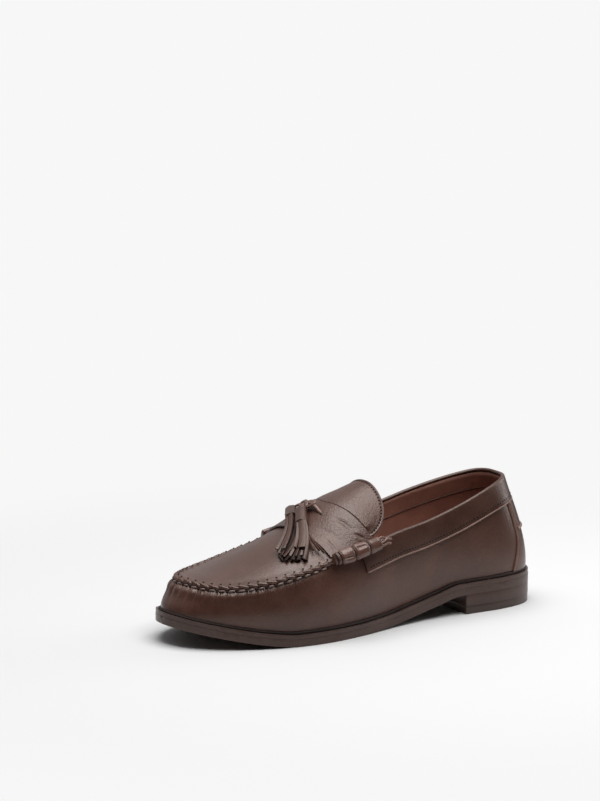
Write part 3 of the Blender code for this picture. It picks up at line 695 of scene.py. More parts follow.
tongueFlap = {"cells": (120, 170), "start": 18.1, "sideEnd": 21.6, "middleEnd": 23.75, "roundness": 7.0,
              "margin": 0.0375, "rowPower": 1.35, "thickness": 0.0017, "bevel": 0.0004, "bead": 0.00045,
              "beadAt": 0.0008, "beadWidth": 0.0008, "groove": 0.00018, "grooveAt": 0.0020,
              "grooveWidth": 0.0006, "pad": 0.0014, "padRise": (0.0001, 0.0011), "padReach": 0.022,
              "dent": 0.0003, "waves": (0.04, 0.024), "waveSeed": 3, "rimPoints": 241,
              "stitch": (0.00082, 0.00070, 0.00032), "pitch": 0.0026}


def tongueAcross(v):
    return tongueFlap["margin"] + (1 - 2 * tongueFlap["margin"]) * toEdges(v)


def tongueSpot(row, across):
    lean = np.minimum(1.0, np.abs(2 * across - 1) / (1 - 2 * tongueFlap["margin"]))
    rounding = (1 - lean ** tongueFlap["roundness"]) ** 0.5
    end = tongueFlap["sideEnd"] + (tongueFlap["middleEnd"] - tongueFlap["sideEnd"]) * rounding
    return tongueFlap["start"] + (end - tongueFlap["start"]) * row


rimAcross = tongueAcross(np.linspace(0, 1, tongueFlap["rimPoints"]))
rimRungs = tongueSpot(1.0, rimAcross)
rimLine = apronPoint(rimRungs, rimAcross)


def tonguePlace(u, v):
    across = tongueAcross(v)
    rung = tongueSpot(1 - (1 - u) ** tongueFlap["rowPower"], across)
    out = apronOut(rung, across)
    points = apronPoint(rung, across)
    far = nearestOn(points, rimLine)[0]
    lift = -tongueFlap["groove"] * hump(far, tongueFlap["grooveAt"], tongueFlap["grooveWidth"])
    lift = lift + tongueFlap["bead"] * hump(far, tongueFlap["beadAt"], tongueFlap["beadWidth"])
    lift += tongueFlap["dent"] * ripple(points, tongueFlap["waves"], tongueFlap["waveSeed"]) * ease(far / 0.006)
    behind = (rung - saddleSpot(1.0, across)) * saddleStrap["rung"]
    start, span = tongueFlap["padRise"]
    padded = ease((behind - start) / span) * ease(1 - behind / tongueFlap["padReach"])
    lift += tongueFlap["pad"] * padded * ease((far - 0.004) / 0.004)
    return points + out * lift[:, None], out


bm = gridSheet(tongueFlap["cells"], tonguePlace)
finishPiece(bm, "tongueFlap", grainLeather, ("tongue",),
            thickness=tongueFlap["thickness"], bevel=tongueFlap["bevel"], evenWall=False)

rimOuts = apronOut(rimRungs, rimAcross)
rimRun = unit(np.gradient(rimLine, axis=0))
rimPoints = rimLine + unit(np.cross(rimRun, rimOuts)) * tongueFlap["grooveAt"]
tongueRoot = apronPoint(18.0, 0.5)
if np.linalg.norm(rimPoints.mean(0) - tongueRoot) > np.linalg.norm(rimLine.mean(0) - tongueRoot):
    rimPoints = 2 * rimLine - rimPoints


def sewRow(name, points, outs, pitch, sizes, lift):
    # a row of stitches along a line of points
    arc = runLengths(points)

    def along(values, place):
        return np.array([np.interp(place, arc, values[:, j]) for j in range(3)])
    row = bmesh.new()
    for k in range(int(arc[-1] / pitch)):
        here = (k + 0.5) * pitch
        spot, out = along(points, here), along(outs, here)
        addBead(row, spot + out * lift, along(points, here + 0.0004) - spot, out, sizes)
    return finishPiece(row, name, darkThreadAndShade)


sewRow("tongueStitches", rimPoints[6:-6], rimOuts[6:-6], tongueFlap["pitch"], tongueFlap["stitch"], -0.00005)


def foldLift(points, folds):
    # soft creases of the strap between two places on the apron
    total = np.zeros(len(points))
    shares = np.linspace(0, 1, saddleStrap["foldSteps"])
    for start, end, width, depth in folds:
        rungs, acrosses = (start[j] + (end[j] - start[j]) * shares for j in (0, 1))
        near, best = nearestOn(points, apronPoint(rungs, acrosses))
        taper = np.sin(np.pi * np.clip(shares[best], 0.02, 0.98)) ** 0.6
        total += depth * taper * (0.6 * hump(near, width, 0.7 * width) - hump(near, 0.0, 0.42 * width))
    return total


def saddlePlace(u, v):
    margin = saddleStrap["margin"] / saddleStrap["width"]
    across = margin + (1 - 2 * margin) * toEdges(v)
    rung = saddleSpot(u, across)
    out = apronOut(rung, across)
    points = apronPoint(rung, across)
    lift = saddleStrap["lift"] + foldLift(points, saddleStrap["folds"])
    lift = lift + saddleStrap["dent"] * ripple(points, saddleStrap["waves"], saddleStrap["waveSeed"])
    return points + out * lift[:, None], out


bm = gridSheet(saddleStrap["cells"], saddlePlace)
finishPiece(bm, "saddleStrap", grainLeather, ("saddle",),
            thickness=saddleStrap["thickness"], bevel=saddleStrap["bevel"])

# collar band, folded over the top line
collarBand = {"cells": (520, 22), "end": 21.7, "width": 0.0170, "thickness": 0.0011, "wall": 0.0010,
              "bevel": 0.0003, "slant": 0.55, "under": 0.0003, "foldAt": 0.72, "crest": 0.0016,
              "stitch": (0.00090, 0.00045, 0.00026), "pitch": 0.0027, "sewAbove": 0.0027, "sewEnd": 0.5,
              "sewLift": 0.0014, "sewPoints": 900, "pipe": 0.00065, "pipeBelow": 0.0003, "pipeEnd": 0.55,
              "pipeLift": 0.0012, "pipePoints": 600}
cord = {"around": 10, "end": 0.004, "ringPoints": 61, "ringAround": 8}


def bandPlace(u, v):
    column = collarBand["end"] * (2 * u - 1)
    low = 1 - collarBand["width"] / wallHeight(column)
    skew = collarBand["slant"] * np.sign(column) * ease((np.abs(column) - (collarBand["end"] - 1.2)) / 1.2)
    cover = collarBand["under"] + collarBand["thickness"]
    share = np.clip(v / collarBand["foldAt"], 0.0, 1.0)
    up = low + (1 - low) * share
    spread = column - skew * (1 - share)
    outSide = wallFrame(spread, up)[0]
    side = wallPoint(spread, up) + outSide * cover
    turn = np.clip((v - collarBand["foldAt"]) / (1 - collarBand["foldAt"]), 0.0, 1.0) * np.pi
    outTop, riseTop = wallFrame(column, np.ones_like(column))
    crest = wallPoint(column, np.ones_like(column))
    half = 0.5 * (cover + last["wall"])
    middle = crest + outTop * (cover - half)
    rolled = middle + outTop * (half * np.cos(turn))[:, None]
    rolled = rolled + riseTop * (collarBand["crest"] * np.sin(turn))[:, None]
    folded = outTop * np.cos(turn)[:, None] + riseTop * np.sin(turn)[:, None]
    outside = (v < collarBand["foldAt"])[:, None]
    return np.where(outside, side, rolled), np.where(outside, outSide, folded)


bm = gridSheet(collarBand["cells"], bandPlace)
finishPiece(bm, "collarBand", bandLeather, ("collar_band",), thickness=collarBand["wall"],
            bevel=collarBand["bevel"])


def belowTop(end, drop, count):
    # a line round the heel at an even distance under the top line
    columns = np.linspace(-end, end, count)
    return columns, 1 - drop / wallHeight(columns)


sewColumns, sewUps = belowTop(collarBand["end"] - collarBand["sewEnd"],
                              collarBand["width"] - collarBand["sewAbove"], collarBand["sewPoints"])
sewRow("bandStitches", onWall(sewColumns, sewUps, collarBand["sewLift"]), wallFrame(sewColumns, sewUps)[0],
       collarBand["pitch"], collarBand["stitch"], 0.00002)


def edgeCord(name, path, outs, radius, material):
    def shape(u, turn):
        ends = roundEnds(u, cord["end"])
        return radius * np.cos(turn) * ends, radius * np.sin(turn) * ends
    return finishPiece(tubeSheet(path, outs, shape, cord["around"]), name, material)


def wallCord(name, columns, ups, lift, radius, material, slot="upper_leather"):
    # a cord along the wall, on its outside, or on its inside where the lift is negative
    outs = wallFrame(columns, ups)[0] * math.copysign(1.0, lift)
    return edgeCord(name, onWall(columns, ups, lift), outs, radius, material)


wallCord("bandPiping", *belowTop(collarBand["end"] - collarBand["pipeEnd"],
                                 collarBand["width"] + collarBand["pipeBelow"], collarBand["pipePoints"]),
         collarBand["pipeLift"], collarBand["pipe"], pipingTanPaintedHighlight)

# the facing's seam on the lining, under the top line
facing = {"end": 21.0, "below": 0.0150, "radius": 0.00042, "points": 900}
wallCord("facingEdge", *belowTop(facing["end"], facing["below"], facing["points"]), -lining["inset"],
         facing["radius"], facingLeather, "lining_leather")
print("tongue, saddle and collar made")

# heel patch: counter below, tab above, piped down both sides
heelPatch = {"cells": (80, 30), "end": 5.5, "wider": 1.5, "foot": 0.015, "seamUp": 0.47, "seamGap": 0.0006,
             "top": 0.0179, "counter": 0.0009, "tab": 0.0013, "bevel": 0.0004, "pipe": 0.0011,
             "pipeUps": (0.01, 0.82), "pipeAside": 0.08, "pipeLift": 0.0003, "pipePoints": 160,
             "seamLift": 0.0016, "seamPoints": 120}


def patchEnd(up):
    return heelPatch["end"] + heelPatch["wider"] * ease((heelPatch["seamUp"] - up) / heelPatch["seamUp"])


def patchSheet(name, low, high, thickness, replaced):
    def place(u, v):
        tall = wallHeight(heelPatch["end"] * (2 * u - 1))
        up = low(tall) + (high(tall) - low(tall)) * v
        column = patchEnd(up) * (2 * u - 1)
        out = wallFrame(column, up)[0]
        return wallPoint(column, up) + out * (last["gap"] + thickness), out
    bm = gridSheet(heelPatch["cells"], place)
    return finishPiece(bm, name, upperLeather, replaced, thickness=thickness * 0.9,
                       bevel=heelPatch["bevel"])


patchSheet("heelCounter", lambda tall: heelPatch["foot"], lambda tall: heelPatch["seamUp"],
           heelPatch["counter"], ("heel_counter",))
patchSheet("heelTab", lambda tall: heelPatch["seamUp"] + heelPatch["seamGap"] / tall,
           lambda tall: 1 - heelPatch["top"] / tall, heelPatch["tab"], ("heel_tab",))
pipeUps = np.linspace(*heelPatch["pipeUps"], heelPatch["pipePoints"])
for name, side in (("heelPipingOuter", 1), ("heelPipingInner", -1)):
    wallCord(name, side * (patchEnd(pipeUps) + heelPatch["pipeAside"]), pipeUps, heelPatch["pipeLift"],
             heelPatch["pipe"], pipingTanPaintedHighlight)
wallCord("tabSeam", np.linspace(-heelPatch["end"], heelPatch["end"], heelPatch["seamPoints"]),
         heelPatch["seamUp"], heelPatch["seamLift"], heelPatch["pipe"], pipingTanPaintedHighlight)


# rolls at the saddle's ends, each climbing over the collar band's edge
rolls = {"rungs": (17.55, 21.95), "lift": 0.0006, "climb": (0.45, 0.25), "tieClear": 0.0001}


def rollPath(side, roll):
    rungs = np.linspace(*rolls["rungs"], roll["points"])
    columns = toeColumn + side * rungs
    out = unit(wallFrame(columns, 1.0)[0] + roll["lean"] * apronOut(rungs, 0.5 + 0.5 * side))
    start, span = rolls["climb"]
    climb = np.clip((np.linspace(0, 1, roll["points"]) - start) / span, 0.0, 1.0)
    lift = rolls["lift"] + roll["rise"] * climb + 0.5 * roll["height"]
    return wallTop(columns) + out * lift[:, None], out


# a crease: depth, where round the roll, its width, where along it, its reach and how softly it ends
beefroll = {"points": 200, "around": 40, "width": 0.0112, "height": 0.0080, "lean": 0.45, "rise": 0.0010,
            "end": (0.03, 0.42), "wobble": 0.03, "ties": (0.055, 0.125, 0.41, 0.73), "pinch": 0.30,
            "pinchWidth": 0.024, "threads": ((-0.016, 0.00045, darkThreadAndShade), (0.012, 0.00062, bandLeather)),
            "creases": ((0.0015, 2.05, 0.17, 0.27, 0.11, 0.04), (0.0009, 1.1, 0.20, 0.57, 0.12, 0.05))}
path, outs = rollPath(-1, beefroll)


def rollSize(u):
    size = np.ones_like(u)
    for tie in beefroll["ties"]:
        size -= beefroll["pinch"] * hump(u, tie, beefroll["pinchWidth"])
    return size * (0.86 + 0.16 * np.sin(np.pi * np.clip(u * 1.1, 0, 1)))


def rollShape(u, turn):
    size = rollSize(u)
    ends = roundEnds(u, *beefroll["end"])
    crease = sum(depth * hump(turn, where, width) * fadeOut(np.abs(u - middle), reach, soft)
                 for depth, where, width, middle, reach, soft in beefroll["creases"])
    wobble = 1 + beefroll["wobble"] * np.sin(3 * turn + 14 * u)
    across = (0.5 * beefroll["width"] * size * wobble - crease) * np.cos(turn) * ends
    rise = (0.5 * beefroll["height"] * size * wobble - crease) * np.sin(turn) * ends
    return across, rise


bm = tubeSheet(path, outs, rollShape, beefroll["around"])
finishPiece(bm, "beefroll", rollLeatherPaintedLight, ("beefroll_outer",))


def tieRing(name, path, outs, where, roll, size, radius, material):
    # a thread wound round a roll
    halfWidth, halfHeight = (0.5 * roll[key] * size + rolls["tieClear"] for key in ("width", "height"))
    k = int(where * (len(path) - 1))
    ahead = unit(path[min(k + 1, len(path) - 1)] - path[max(k - 1, 0)])
    out = unit(outs[k] - ahead * np.dot(outs[k], ahead))
    side = np.cross(out, ahead)
    turns = np.linspace(0, 2 * np.pi, cord["ringPoints"])
    ring = path[k] + side * halfWidth * np.cos(turns)[:, None] + out * halfHeight * np.sin(turns)[:, None]
    ringOuts = unit(side * np.cos(turns)[:, None] + out * np.sin(turns)[:, None])

    def shape(u, turn):
        return radius * np.cos(turn), radius * np.sin(turn)
    bm = tubeSheet(ring, ringOuts, shape, cord["ringAround"])
    return finishPiece(bm, name, material)


tieNumber = 0
for tie in beefroll["ties"]:
    for shift, radius, dress in beefroll["threads"]:
        tieNumber += 1
        tieRing(f"beefrollTie{tieNumber}", path, outs, tie + shift, beefroll, rollSize(np.array([tie + shift]))[0],
                radius, dress)

foldedRoll = {"points": 160, "around": 32, "width": 0.0110, "height": 0.0046, "lean": 0.45, "rise": 0.0017,
              "end": (0.02, 0.35), "slit": 0.0013, "slitWidth": 0.13, "slitAt": 0.48, "slitFade": (0.42, 0.08),
              "ties": (0.80, 0.84), "thread": 0.0004}
path, outs = rollPath(1, foldedRoll)


def foldedShape(u, turn):
    ends = roundEnds(u, *foldedRoll["end"])
    parted = fadeOut(np.abs(u - foldedRoll["slitAt"]), *foldedRoll["slitFade"])
    slit = foldedRoll["slit"] * hump(turn, np.pi / 2, foldedRoll["slitWidth"]) * parted
    across = 0.5 * foldedRoll["width"] * np.cos(turn) * ends
    rise = (0.5 * foldedRoll["height"] * np.sign(np.sin(turn)) * np.abs(np.sin(turn)) ** 0.7 - slit) * ends
    return across, rise


bm = tubeSheet(path, outs, foldedShape, foldedRoll["around"])
finishPiece(bm, "foldedRoll", rollLeatherPaintedLight, ("roll_inner",))
for number, tie in enumerate(foldedRoll["ties"]):
    tieRing(f"foldedRollTie{number + 1}", path, outs, tie, foldedRoll, 1.0, foldedRoll["thread"], threadWax)
print("heel patch and rolls made")

# tassels
tassels = {
    "tasselNear": {"node": "tassel_near", "head": (18.72, 0.553), "neck": (17.60, 0.392), "lift": 0.0064,
                   "tips": ((14.35, 0.235), (14.55, 0.165), (15.05, 0.125), (15.55, 0.098), (16.00, 0.082)),
                   "strips": 16, "curls": ((16.75, 0.120, 0.9), (17.10, 0.095, 1.25), (17.30, 0.060, 1.5)),
                   "front": (16.12, 0.178), "wide": 0.0052, "seed": 3},
    "tasselFar": {"node": "tassel_far", "head": (18.86, 0.725), "neck": (17.85, 0.580), "lift": 0.0054,
                  "tips": ((14.85, 0.320), (14.50, 0.255), (14.25, 0.205), (14.45, 0.160)),
                  "strips": 11, "curls": (), "front": (14.95, 0.250), "wide": 0.0032, "seed": 8},
}
tasselCut = {"headPoints": 70, "headAround": 64, "headWidth": 0.0088, "headHeight": 0.0074, "wrap": 0.0005,
             "tuck": 0.0040, "strip": 0.0023, "curl": 0.0013, "thickness": 0.0008, "bevel": 0.00015, "steps": 22,
             "fall": 1.3, "bow": 0.42}


def makeTassel(name, spot):
    dice = random.Random(spot["seed"])
    head, neck = np.array(spot["head"]), np.array(spot["neck"])
    start, end = onApron(*head, spot["lift"]), onApron(*neck, spot["lift"] * 0.94)
    axis = unit(end - start)
    up = apronOut(*neck)
    up = unit(up - axis * np.dot(up, axis))
    side = np.cross(axis, up)
    # steps on the apron that go one metre sideways and one metre along the tassel
    rungStep = (apronPoint(neck[0] + 0.1, neck[1]) - apronPoint(neck[0] - 0.1, neck[1])) / 0.2
    acrossStep = (apronPoint(neck[0], neck[1] + 0.02) - apronPoint(neck[0], neck[1] - 0.02)) / 0.04
    steps = np.stack([rungStep, acrossStep], -1)
    sideStep = np.linalg.lstsq(steps, side, rcond=None)[0]
    aheadStep = np.linalg.lstsq(steps, axis, rcond=None)[0]
    headPath = start + (end - start) * np.linspace(0, 1, tasselCut["headPoints"])[:, None]

    def headShape(u, turn):
        # a flat strip wound round: squarish, with the strip's end as a step
        ends = np.clip(u / 0.05, 0.0, 1.0) ** 0.5 * np.clip((1 - u) / 0.02, 0.0, 1.0) ** 0.5
        wound = tasselCut["wrap"] * (((turn - 1.35) / (2 * np.pi)) % 1.0)
        wobble = 1 - 0.04 * hump(u, 0.12, 0.06) + 0.02 * u
        square = (np.abs(np.cos(turn)) ** 3 + np.abs(np.sin(turn)) ** 3) ** (-1 / 3)
        across = (0.5 * tasselCut["headWidth"] * wobble - wound) * square * np.cos(turn)
        rise = (0.5 * tasselCut["headHeight"] * wobble - wound) * square * np.sin(turn)
        return across * ends, rise * ends
    bm = tubeSheet(headPath, np.tile(up, (len(headPath), 1)), headShape, tasselCut["headAround"])
    finishPiece(bm, name + "Head", bandLeather, (spot["node"],))

    def strip(skirt, begin, tip, width, layer, bow, twist, drop):
        count = tasselCut["steps"] + 1
        s = np.linspace(0, 1, count)
        span = np.linalg.norm(apronPoint(*tip) - apronPoint(*begin))
        middle = begin + aheadStep * tasselCut["bow"] * span + sideStep * bow
        way = begin * ((1 - s) ** 2)[:, None] + middle * (2 * s * (1 - s))[:, None] + tip * (s * s)[:, None]
        high = spot["lift"] + layer * 0.5 * (tasselCut["headHeight"] - 0.0016)
        low = drop + 0.0010 + 0.0010 * (layer + 1)
        lift = low + (high - low) * (1 - s) ** tasselCut["fall"]
        points = onApron(way[:, 0], way[:, 1], lift)
        outs = apronOut(way[:, 0], way[:, 1])
        run = unit(np.gradient(points, axis=0))
        flat = unit(np.cross(outs, run))
        tilt = twist * s
        flat = unit(flat * np.cos(tilt)[:, None] + outs * np.sin(tilt)[:, None])
        slant = dice.uniform(-0.5, 0.5) * width

        def place(u, v):
            k = np.rint(u * (count - 1)).astype(int)
            aside = (v - 0.5)[:, None]
            wide = points[k] + flat[k] * aside * width * (0.8 + 0.2 * ease(u / 0.3))[:, None]
            return wide + run[k] * aside * slant * (u > 0.99)[:, None], outs[k]
        addSheet(skirt, (tasselCut["steps"], 2), place)

    tips = np.array(spot["tips"])
    skirt, under = bmesh.new(), bmesh.new()
    for layer in (skirt, under):
        layer.loops.layers.uv.new("UVMap")
    tuck = neck - aheadStep * tasselCut["tuck"]
    for number in range(spot["strips"]):
        share = (number + 0.5) / spot["strips"] + dice.uniform(-0.03, 0.03)
        place = np.clip(share, 0, 1) * (len(tips) - 1)
        tip = np.array([np.interp(place, np.arange(len(tips)), tips[:, j]) for j in (0, 1)])
        begin = tuck + sideStep * (0.5 - share) * 0.75 * tasselCut["headWidth"]
        tip = tip + (begin - tip) * dice.uniform(-0.02, 0.10)
        height = (number % 3 - 1) * 0.8
        strip(under if height < 0.1 else skirt, begin, tip, tasselCut["strip"] * dice.uniform(0.75, 1.25), height,
              dice.uniform(-0.0012, 0.0012), dice.uniform(-0.8, 0.8), 0.0)
    for rung, across, bend in spot["curls"]:
        begin = tuck - sideStep * 0.34 * tasselCut["headWidth"]
        strip(skirt, begin, np.array((rung, across)), tasselCut["curl"] * dice.uniform(0.9, 1.4), 0.2 * bend - 0.3,
              0.0028 * bend, dice.uniform(0.4, 1.2), 0.0014)
    strip(skirt, tuck - sideStep * 0.0006, np.array(spot["front"]), spot["wide"], 1.0, 0.0, 0.12, 0.0022)
    strip(skirt, tuck + sideStep * 0.0026, np.array(spot["front"]) + (-0.35, 0.035), tasselCut["strip"], 0.9, 0.0,
          -0.5, 0.0018)
    # the lower strips take the near-black leather as painted shade; the top strips keep the strip leather
    for layer, part, dress in ((skirt, "Strips", stripLeather), (under, "UnderStripsPaintedShade", shadedStripLeather)):
        layer.normal_update()
        finishPiece(layer, name + part, dress, thickness=tasselCut["thickness"], offset=0.0,
                    bevel=tasselCut["bevel"])


for name, spot in tassels.items():
    makeTassel(name, spot)
print("tassels hung")


# knotted lace over the saddle
lace = {"radius": 0.00115, "thin": 0.00105, "flatness": (1.35, 0.75), "end": 0.02, "around": 14,
        "slot": ((19.32, 0.445), (19.14, 0.375)), "slotSize": (0.0038, 0.0011, 0.0003), "slotLift": 0.0021,
        "tailColumn": 21.9, "tailLift": 0.0042, "tailRadius": 0.00085}


def smoothStops(stops):
    stops = np.array(stops)
    t = np.linspace(0, len(stops) - 1, 14 * (len(stops) - 1) + 1)
    i = np.clip(np.floor(t).astype(int), 0, len(stops) - 2)
    f = (t - i)[:, None]
    padded = np.vstack([2 * stops[0] - stops[1], stops, 2 * stops[-1] - stops[-2]])
    a, b, c, d = (padded[i + j] for j in range(4))
    return 0.5 * (2 * b + (c - a) * f + (2 * a - 5 * b + 4 * c - d) * f * f + (3 * b - a - 3 * c + d) * f ** 3)


def laceStrand(name, stops, radius):
    # stops: rung, across and lift of each place the lace passes
    rung, across, lift = smoothStops(stops).T
    wide, high = (radius * flatness for flatness in lace["flatness"])

    def shape(u, turn):
        ends = roundEnds(u, lace["end"])
        return wide * np.cos(turn) * ends, high * np.sin(turn) * ends
    bm = tubeSheet(onApron(rung, across, lift), apronOut(rung, across), shape, lace["around"])
    return finishPiece(bm, name, rollLeatherPaintedLight)


knot = laceStrand("laceKnot", ((18.95, 0.600, 0.0052), (19.30, 0.655, 0.0056), (19.52, 0.625, 0.0062),
                               (19.32, 0.570, 0.0062), (19.02, 0.560, 0.0054), (19.05, 0.630, 0.0046),
                               (19.35, 0.660, 0.0040)), lace["radius"])
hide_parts("lace_knot")
laceStrand("laceToNear", ((19.30, 0.620, 0.0056), (19.05, 0.585, 0.0064), (18.66, 0.547, 0.0064)), lace["radius"])
laceStrand("laceToFar", ((19.30, 0.650, 0.0054), (19.15, 0.705, 0.0056), (18.80, 0.720, 0.0054)), lace["radius"])
laceStrand("laceToSlot", ((19.35, 0.610, 0.0054), (19.42, 0.545, 0.0060), (19.36, 0.475, 0.0048),
                          (19.27, 0.425, 0.0030), (19.22, 0.392, 0.0012)), lace["thin"])
laceStrand("laceLoop", ((19.35, 0.655, 0.0044), (19.62, 0.620, 0.0046), (19.72, 0.555, 0.0050),
                        (19.55, 0.500, 0.0058), (19.18, 0.520, 0.0054), (19.05, 0.575, 0.0044)), lace["thin"])
# a near-black bead in the strap's slit where the lace goes through: painted shade of the slit
slotPoints = np.array([onApron(*spot, lace["slotLift"]) for spot in lace["slot"]])
bm = bmesh.new()
addBead(bm, slotPoints.mean(0), slotPoints[1] - slotPoints[0], apronOut(*lace["slot"][0]), lace["slotSize"], 16, 8)
finishPiece(bm, "laceSlotShade", darkThreadAndShade)

# the lace's ends, curled out behind the roll: along it, outwards and upwards from its end
tailColumn = toeColumn - lace["tailColumn"]
rollEnd = onWall(tailColumn, 1.0, lace["tailLift"])
rollAhead = unit(wallTop(tailColumn - 0.5) - wallTop(tailColumn + 0.5))
rollOut = wallFrame(tailColumn, 1.0)[0]
rollUp = np.cross(rollAhead, rollOut) * (1 if np.cross(rollAhead, rollOut)[2] > 0 else -1)
laceEnds = (
    ((-0.002, 0.000, 0.001), (0.002, 0.001, 0.0035), (0.005, 0.001, 0.0025), (0.007, 0.0015, -0.0005)),
    ((-0.002, 0.000, -0.001), (0.003, 0.0015, 0.000), (0.007, 0.002, 0.0008), (0.0105, 0.002, -0.0006)),
    ((-0.002, 0.000, -0.002), (0.002, 0.001, -0.0025), (0.007, 0.0015, -0.0022), (0.0095, 0.001, -0.0034)))
for number, stops in enumerate(laceEnds):
    way = smoothStops(stops)
    line = rollEnd + way[:, :1] * rollAhead + way[:, 1:2] * rollOut + way[:, 2:] * rollUp
    edgeCord(f"laceEnd{number + 1}", line, np.tile(rollOut, (len(line), 1)), lace["tailRadius"], pipingTanPaintedHighlight)

# sole: outsole, welt, heel stack and top lift on one outline
soleCut = {"cells": (336, 26), "heelBreast": 0.235, "heelInset": 0.0001, "liftInset": 0.0003,
           "weltStep": 0.0002, "topLift": 0.0060, "touch": 0.00002, "sockLedge": 0.0038, "sock": 0.0030,
           "sharpEdge": 0.9, "shadowCordPoints": 841, "shadowCordUp": 0.012, "shadowCordLift": 0.0004, "shadowCord": 0.0014}


def soleSlab(name, inset, low, high, material, replaced, breast=False, rim=0.0, segments=3):
    def place(u, v):
        column = toeColumn * u
        outer = edgePoint(column) - edgeOut(column) * inset
        inner = edgePoint(columnCount - column) - edgeOut(columnCount - column) * inset
        flat = outer + (inner - outer) * toEdges(v)[:, None]
        points = np.concatenate([flat, low(flat[:, 0])[:, None]], -1)
        return points, np.tile([0.0, 0.0, -1.0], (len(u), 1))
    bm = gridSheet(soleCut["cells"], place, merge=True)
    if breast:
        front = last["length"] * (0.5 - soleCut["heelBreast"])
        bmesh.ops.bisect_plane(bm, geom=bm.verts[:] + bm.edges[:] + bm.faces[:], plane_co=(front, 0, 0),
                               plane_no=(1, 0, 0), clear_inner=True)
    raised = bmesh.ops.extrude_face_region(bm, geom=bm.faces[:])["geom"]
    tops = [item for item in raised if isinstance(item, bmesh.types.BMVert)]
    for vert, height in zip(tops, high(np.array([vert.co.x for vert in tops]))):
        vert.co.z = height
    bmesh.ops.recalc_face_normals(bm, faces=bm.faces)
    bm.normal_update()
    edges = [edge for edge in bm.edges
             if len(edge.link_faces) == 2 and edge.calc_face_angle(0) > soleCut["sharpEdge"]]
    bmesh.ops.bevel(bm, geom=edges, affect="EDGES", offset=rim, segments=segments, profile=0.5, material=-1,
                    clamp_overlap=True)
    return finishPiece(bm, name, material, replaced, sharp=50)


def flatAt(height):
    return lambda x: np.full_like(x, height)


gap, touch = last["gap"], soleCut["touch"]
soleSlab("outsoleEdge", 0.0, soleUnder, lambda x: soleUnder(x) + last["outsole"] + gap - touch, edgeDressing,
         ("outsole",), rim=0.00025)
soleSlab("weltEdge", soleCut["weltStep"], lambda x: soleUnder(x) + last["outsole"] + gap, weltTop, edgeDressing,
         ("welt",), rim=0.0007)
soleSlab("heelStack", soleCut["heelInset"], flatAt(soleCut["topLift"] + touch), lambda x: soleUnder(x) - touch,
         edgeDressing, ("heel_stack",), breast=True, rim=0.00012, segments=2)
soleSlab("topLift", soleCut["liftInset"], flatAt(0.0), flatAt(soleCut["topLift"]), heelRubber,
         ("top_lift",), breast=True, rim=0.00025, segments=2)
soleSlab("sockLining", soleCut["sockLedge"] + last["wall"] + 2 * gap, lambda x: weltTop(x) + gap,
         lambda x: weltTop(x) + gap + soleCut["sock"], liningLeatherPaintedLight, ("insole",), rim=0.0008)
# a near-black cord round the wall's foot, above the welt: painted shadow of the groove between upper and welt
wallCord("weltShadowCord", np.linspace(0.0, columnCount, soleCut["shadowCordPoints"]), soleCut["shadowCordUp"], soleCut["shadowCordLift"],
         soleCut["shadowCord"], darkThreadAndShade, "edge_leather")
print("sole made")

# camera, set as the photograph's
view = {"azimuth": -31.0, "elevation": 11.2, "distance": 3.0, "across": 0.0343, "down": 0.157, "lens": 187.1,
        "sensor": 36.0, "clip": 20.0}
azimuth, elevation = math.radians(view["azimuth"]), math.radians(view["elevation"])
back = Vector((math.sin(azimuth) * math.cos(elevation), -math.cos(azimuth) * math.cos(elevation),
               math.sin(elevation)))
right = Vector((math.cos(azimuth), math.sin(azimuth), 0.0))
upward = back.cross(right)
lens = bpy.data.cameras.new("camera")
lens.lens = view["lens"]
lens.sensor_width = view["sensor"]
lens.clip_end = view["clip"]
camera = bpy.data.objects.new("camera", lens)
bpy.context.scene.collection.objects.link(camera)
camera.location = back * view["distance"] - right * view["across"] + upward * view["down"]
camera.rotation_mode = "QUATERNION"
camera.rotation_quaternion = (-back).to_track_quat("-Z", "Y")
bpy.context.scene.camera = camera

# a bright sweep above and behind the shoe, and a darker room in front of it; lamps as name, place, size, watts
studio = {"floorSize": 6.0, "floor": 0.56, "bounce": 0.66, "floorRough": 0.85, "floorShine": 0.1,
          "bright": 0.60, "dim": 0.02, "lean": 1.1, "edge": (0.10, 0.60), "backdrop": 0.93, "unseen": 0.10,
          "fade": (0.22, 0.50), "aim": (0.0, 0.0, 0.05),
          "lamps": (("topBox", (0.08, -0.16, 1.50), (1.24, 1.72), 38.4),
                    ("rimBox", (1.15, -0.10, 0.40), (0.4, 0.6), 3.4))}
white = (1.0, 1.0, 1.0, 1.0)
bm = bmesh.new()
bmesh.ops.create_grid(bm, x_segments=1, y_segments=1, size=studio["floorSize"])
floorMesh = bpy.data.meshes.new("floor")
bm.to_mesh(floorMesh)
bm.free()
floorObject = bpy.data.objects.new("floor", floorMesh)
bpy.context.scene.collection.objects.link(floorObject)
floorPaint, tree, shader = startMaterial("floorPaint")
shader.inputs["Roughness"].default_value = studio["floorRough"]
shader.inputs["Specular IOR Level"].default_value = studio["floorShine"]
rays = addNode(tree, "LightPath")
tone = addNode(tree, "Mix", {"A": studio["bounce"], "B": studio["floor"]}, data_type="FLOAT")
join(rays, "Is Camera Ray", tone, "Factor")
join(tone, "Result", shader, "Base Color")
reach = addNode(tree, "VectorMath", operation="LENGTH")
join(addNode(tree, "TexCoord"), "Object", reach, 0)
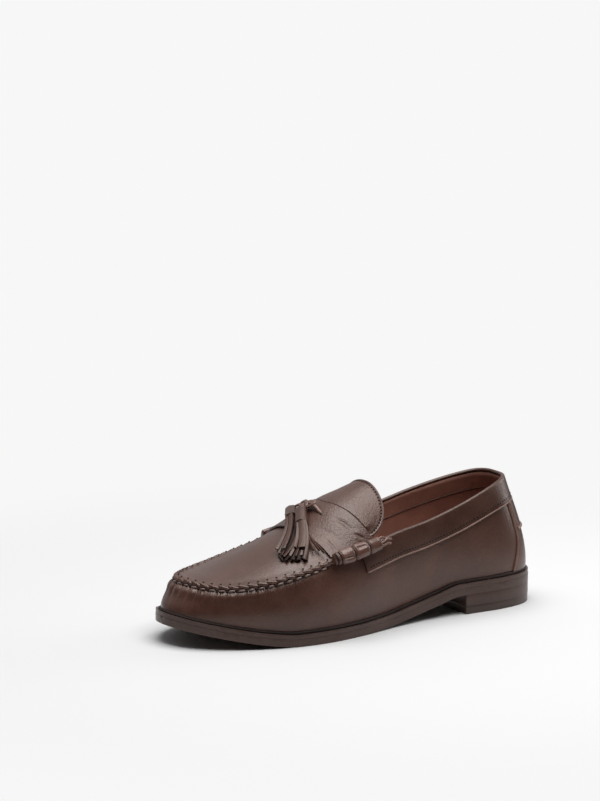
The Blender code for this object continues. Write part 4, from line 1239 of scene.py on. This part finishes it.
fade = addNode(tree, "MapRange", {"From Min": studio["fade"][0], "From Max": studio["fade"][1]},
               interpolation_type="SMOOTHSTEP")
join(reach, "Value", fade, "Value")
paper = addNode(tree, "Emission", {"Color": white})
paperGlow = addNode(tree, "Mix", {"A": studio["unseen"], "B": studio["backdrop"]}, data_type="FLOAT")
join(rays, "Is Camera Ray", paperGlow, "Factor")
join(paperGlow, "Result", paper, "Strength")
blendFloor = addNode(tree, "MixShader")
join(fade, "Result", blendFloor, "Fac")
join(shader, "BSDF", blendFloor, 1)
join(paper, "Emission", blendFloor, 2)
join(blendFloor, "Shader", tree.nodes["Material Output"], "Surface")
floorMesh.materials.append(floorPaint)
for name, spot, size, power in studio["lamps"]:
    lamp = bpy.data.lights.new(name, "AREA")
    lamp.shape = "RECTANGLE"
    lamp.size, lamp.size_y = size
    lamp.energy = power
    item = bpy.data.objects.new(name, lamp)
    bpy.context.scene.collection.objects.link(item)
    item.location = spot
    item.rotation_mode = "QUATERNION"
    item.rotation_quaternion = (Vector(spot) - Vector(studio["aim"])).to_track_quat("Z", "Y")
world = bpy.data.worlds.new("studio")
bpy.context.scene.world = world
world.use_nodes = True
tree = world.node_tree
behind = Vector((-back.x, -back.y, 0.0)).normalized()
sweep = (behind * studio["lean"] + Vector((0.0, 0.0, 1.0))).normalized()
direction = addNode(tree, "TexCoord")
towards = addNode(tree, "VectorMath", operation="DOT_PRODUCT")
towards.inputs[1].default_value = sweep
join(direction, "Generated", towards, 0)
glow = addNode(tree, "MapRange", {"From Min": studio["edge"][0], "From Max": studio["edge"][1],
                                  "To Min": studio["dim"], "To Max": studio["bright"]},
               interpolation_type="SMOOTHSTEP")
join(towards, "Value", glow, "Value")
seen = addNode(tree, "LightPath")
choose = addNode(tree, "Mix", {"B": studio["backdrop"]}, data_type="FLOAT")
join(seen, "Is Camera Ray", choose, "Factor")
join(glow, "Result", choose, "A")
join(choose, "Result", tree.nodes["Background"], "Strength")
tree.nodes["Background"].inputs["Color"].default_value = white
bpy.context.scene.view_settings.view_transform = "Standard"
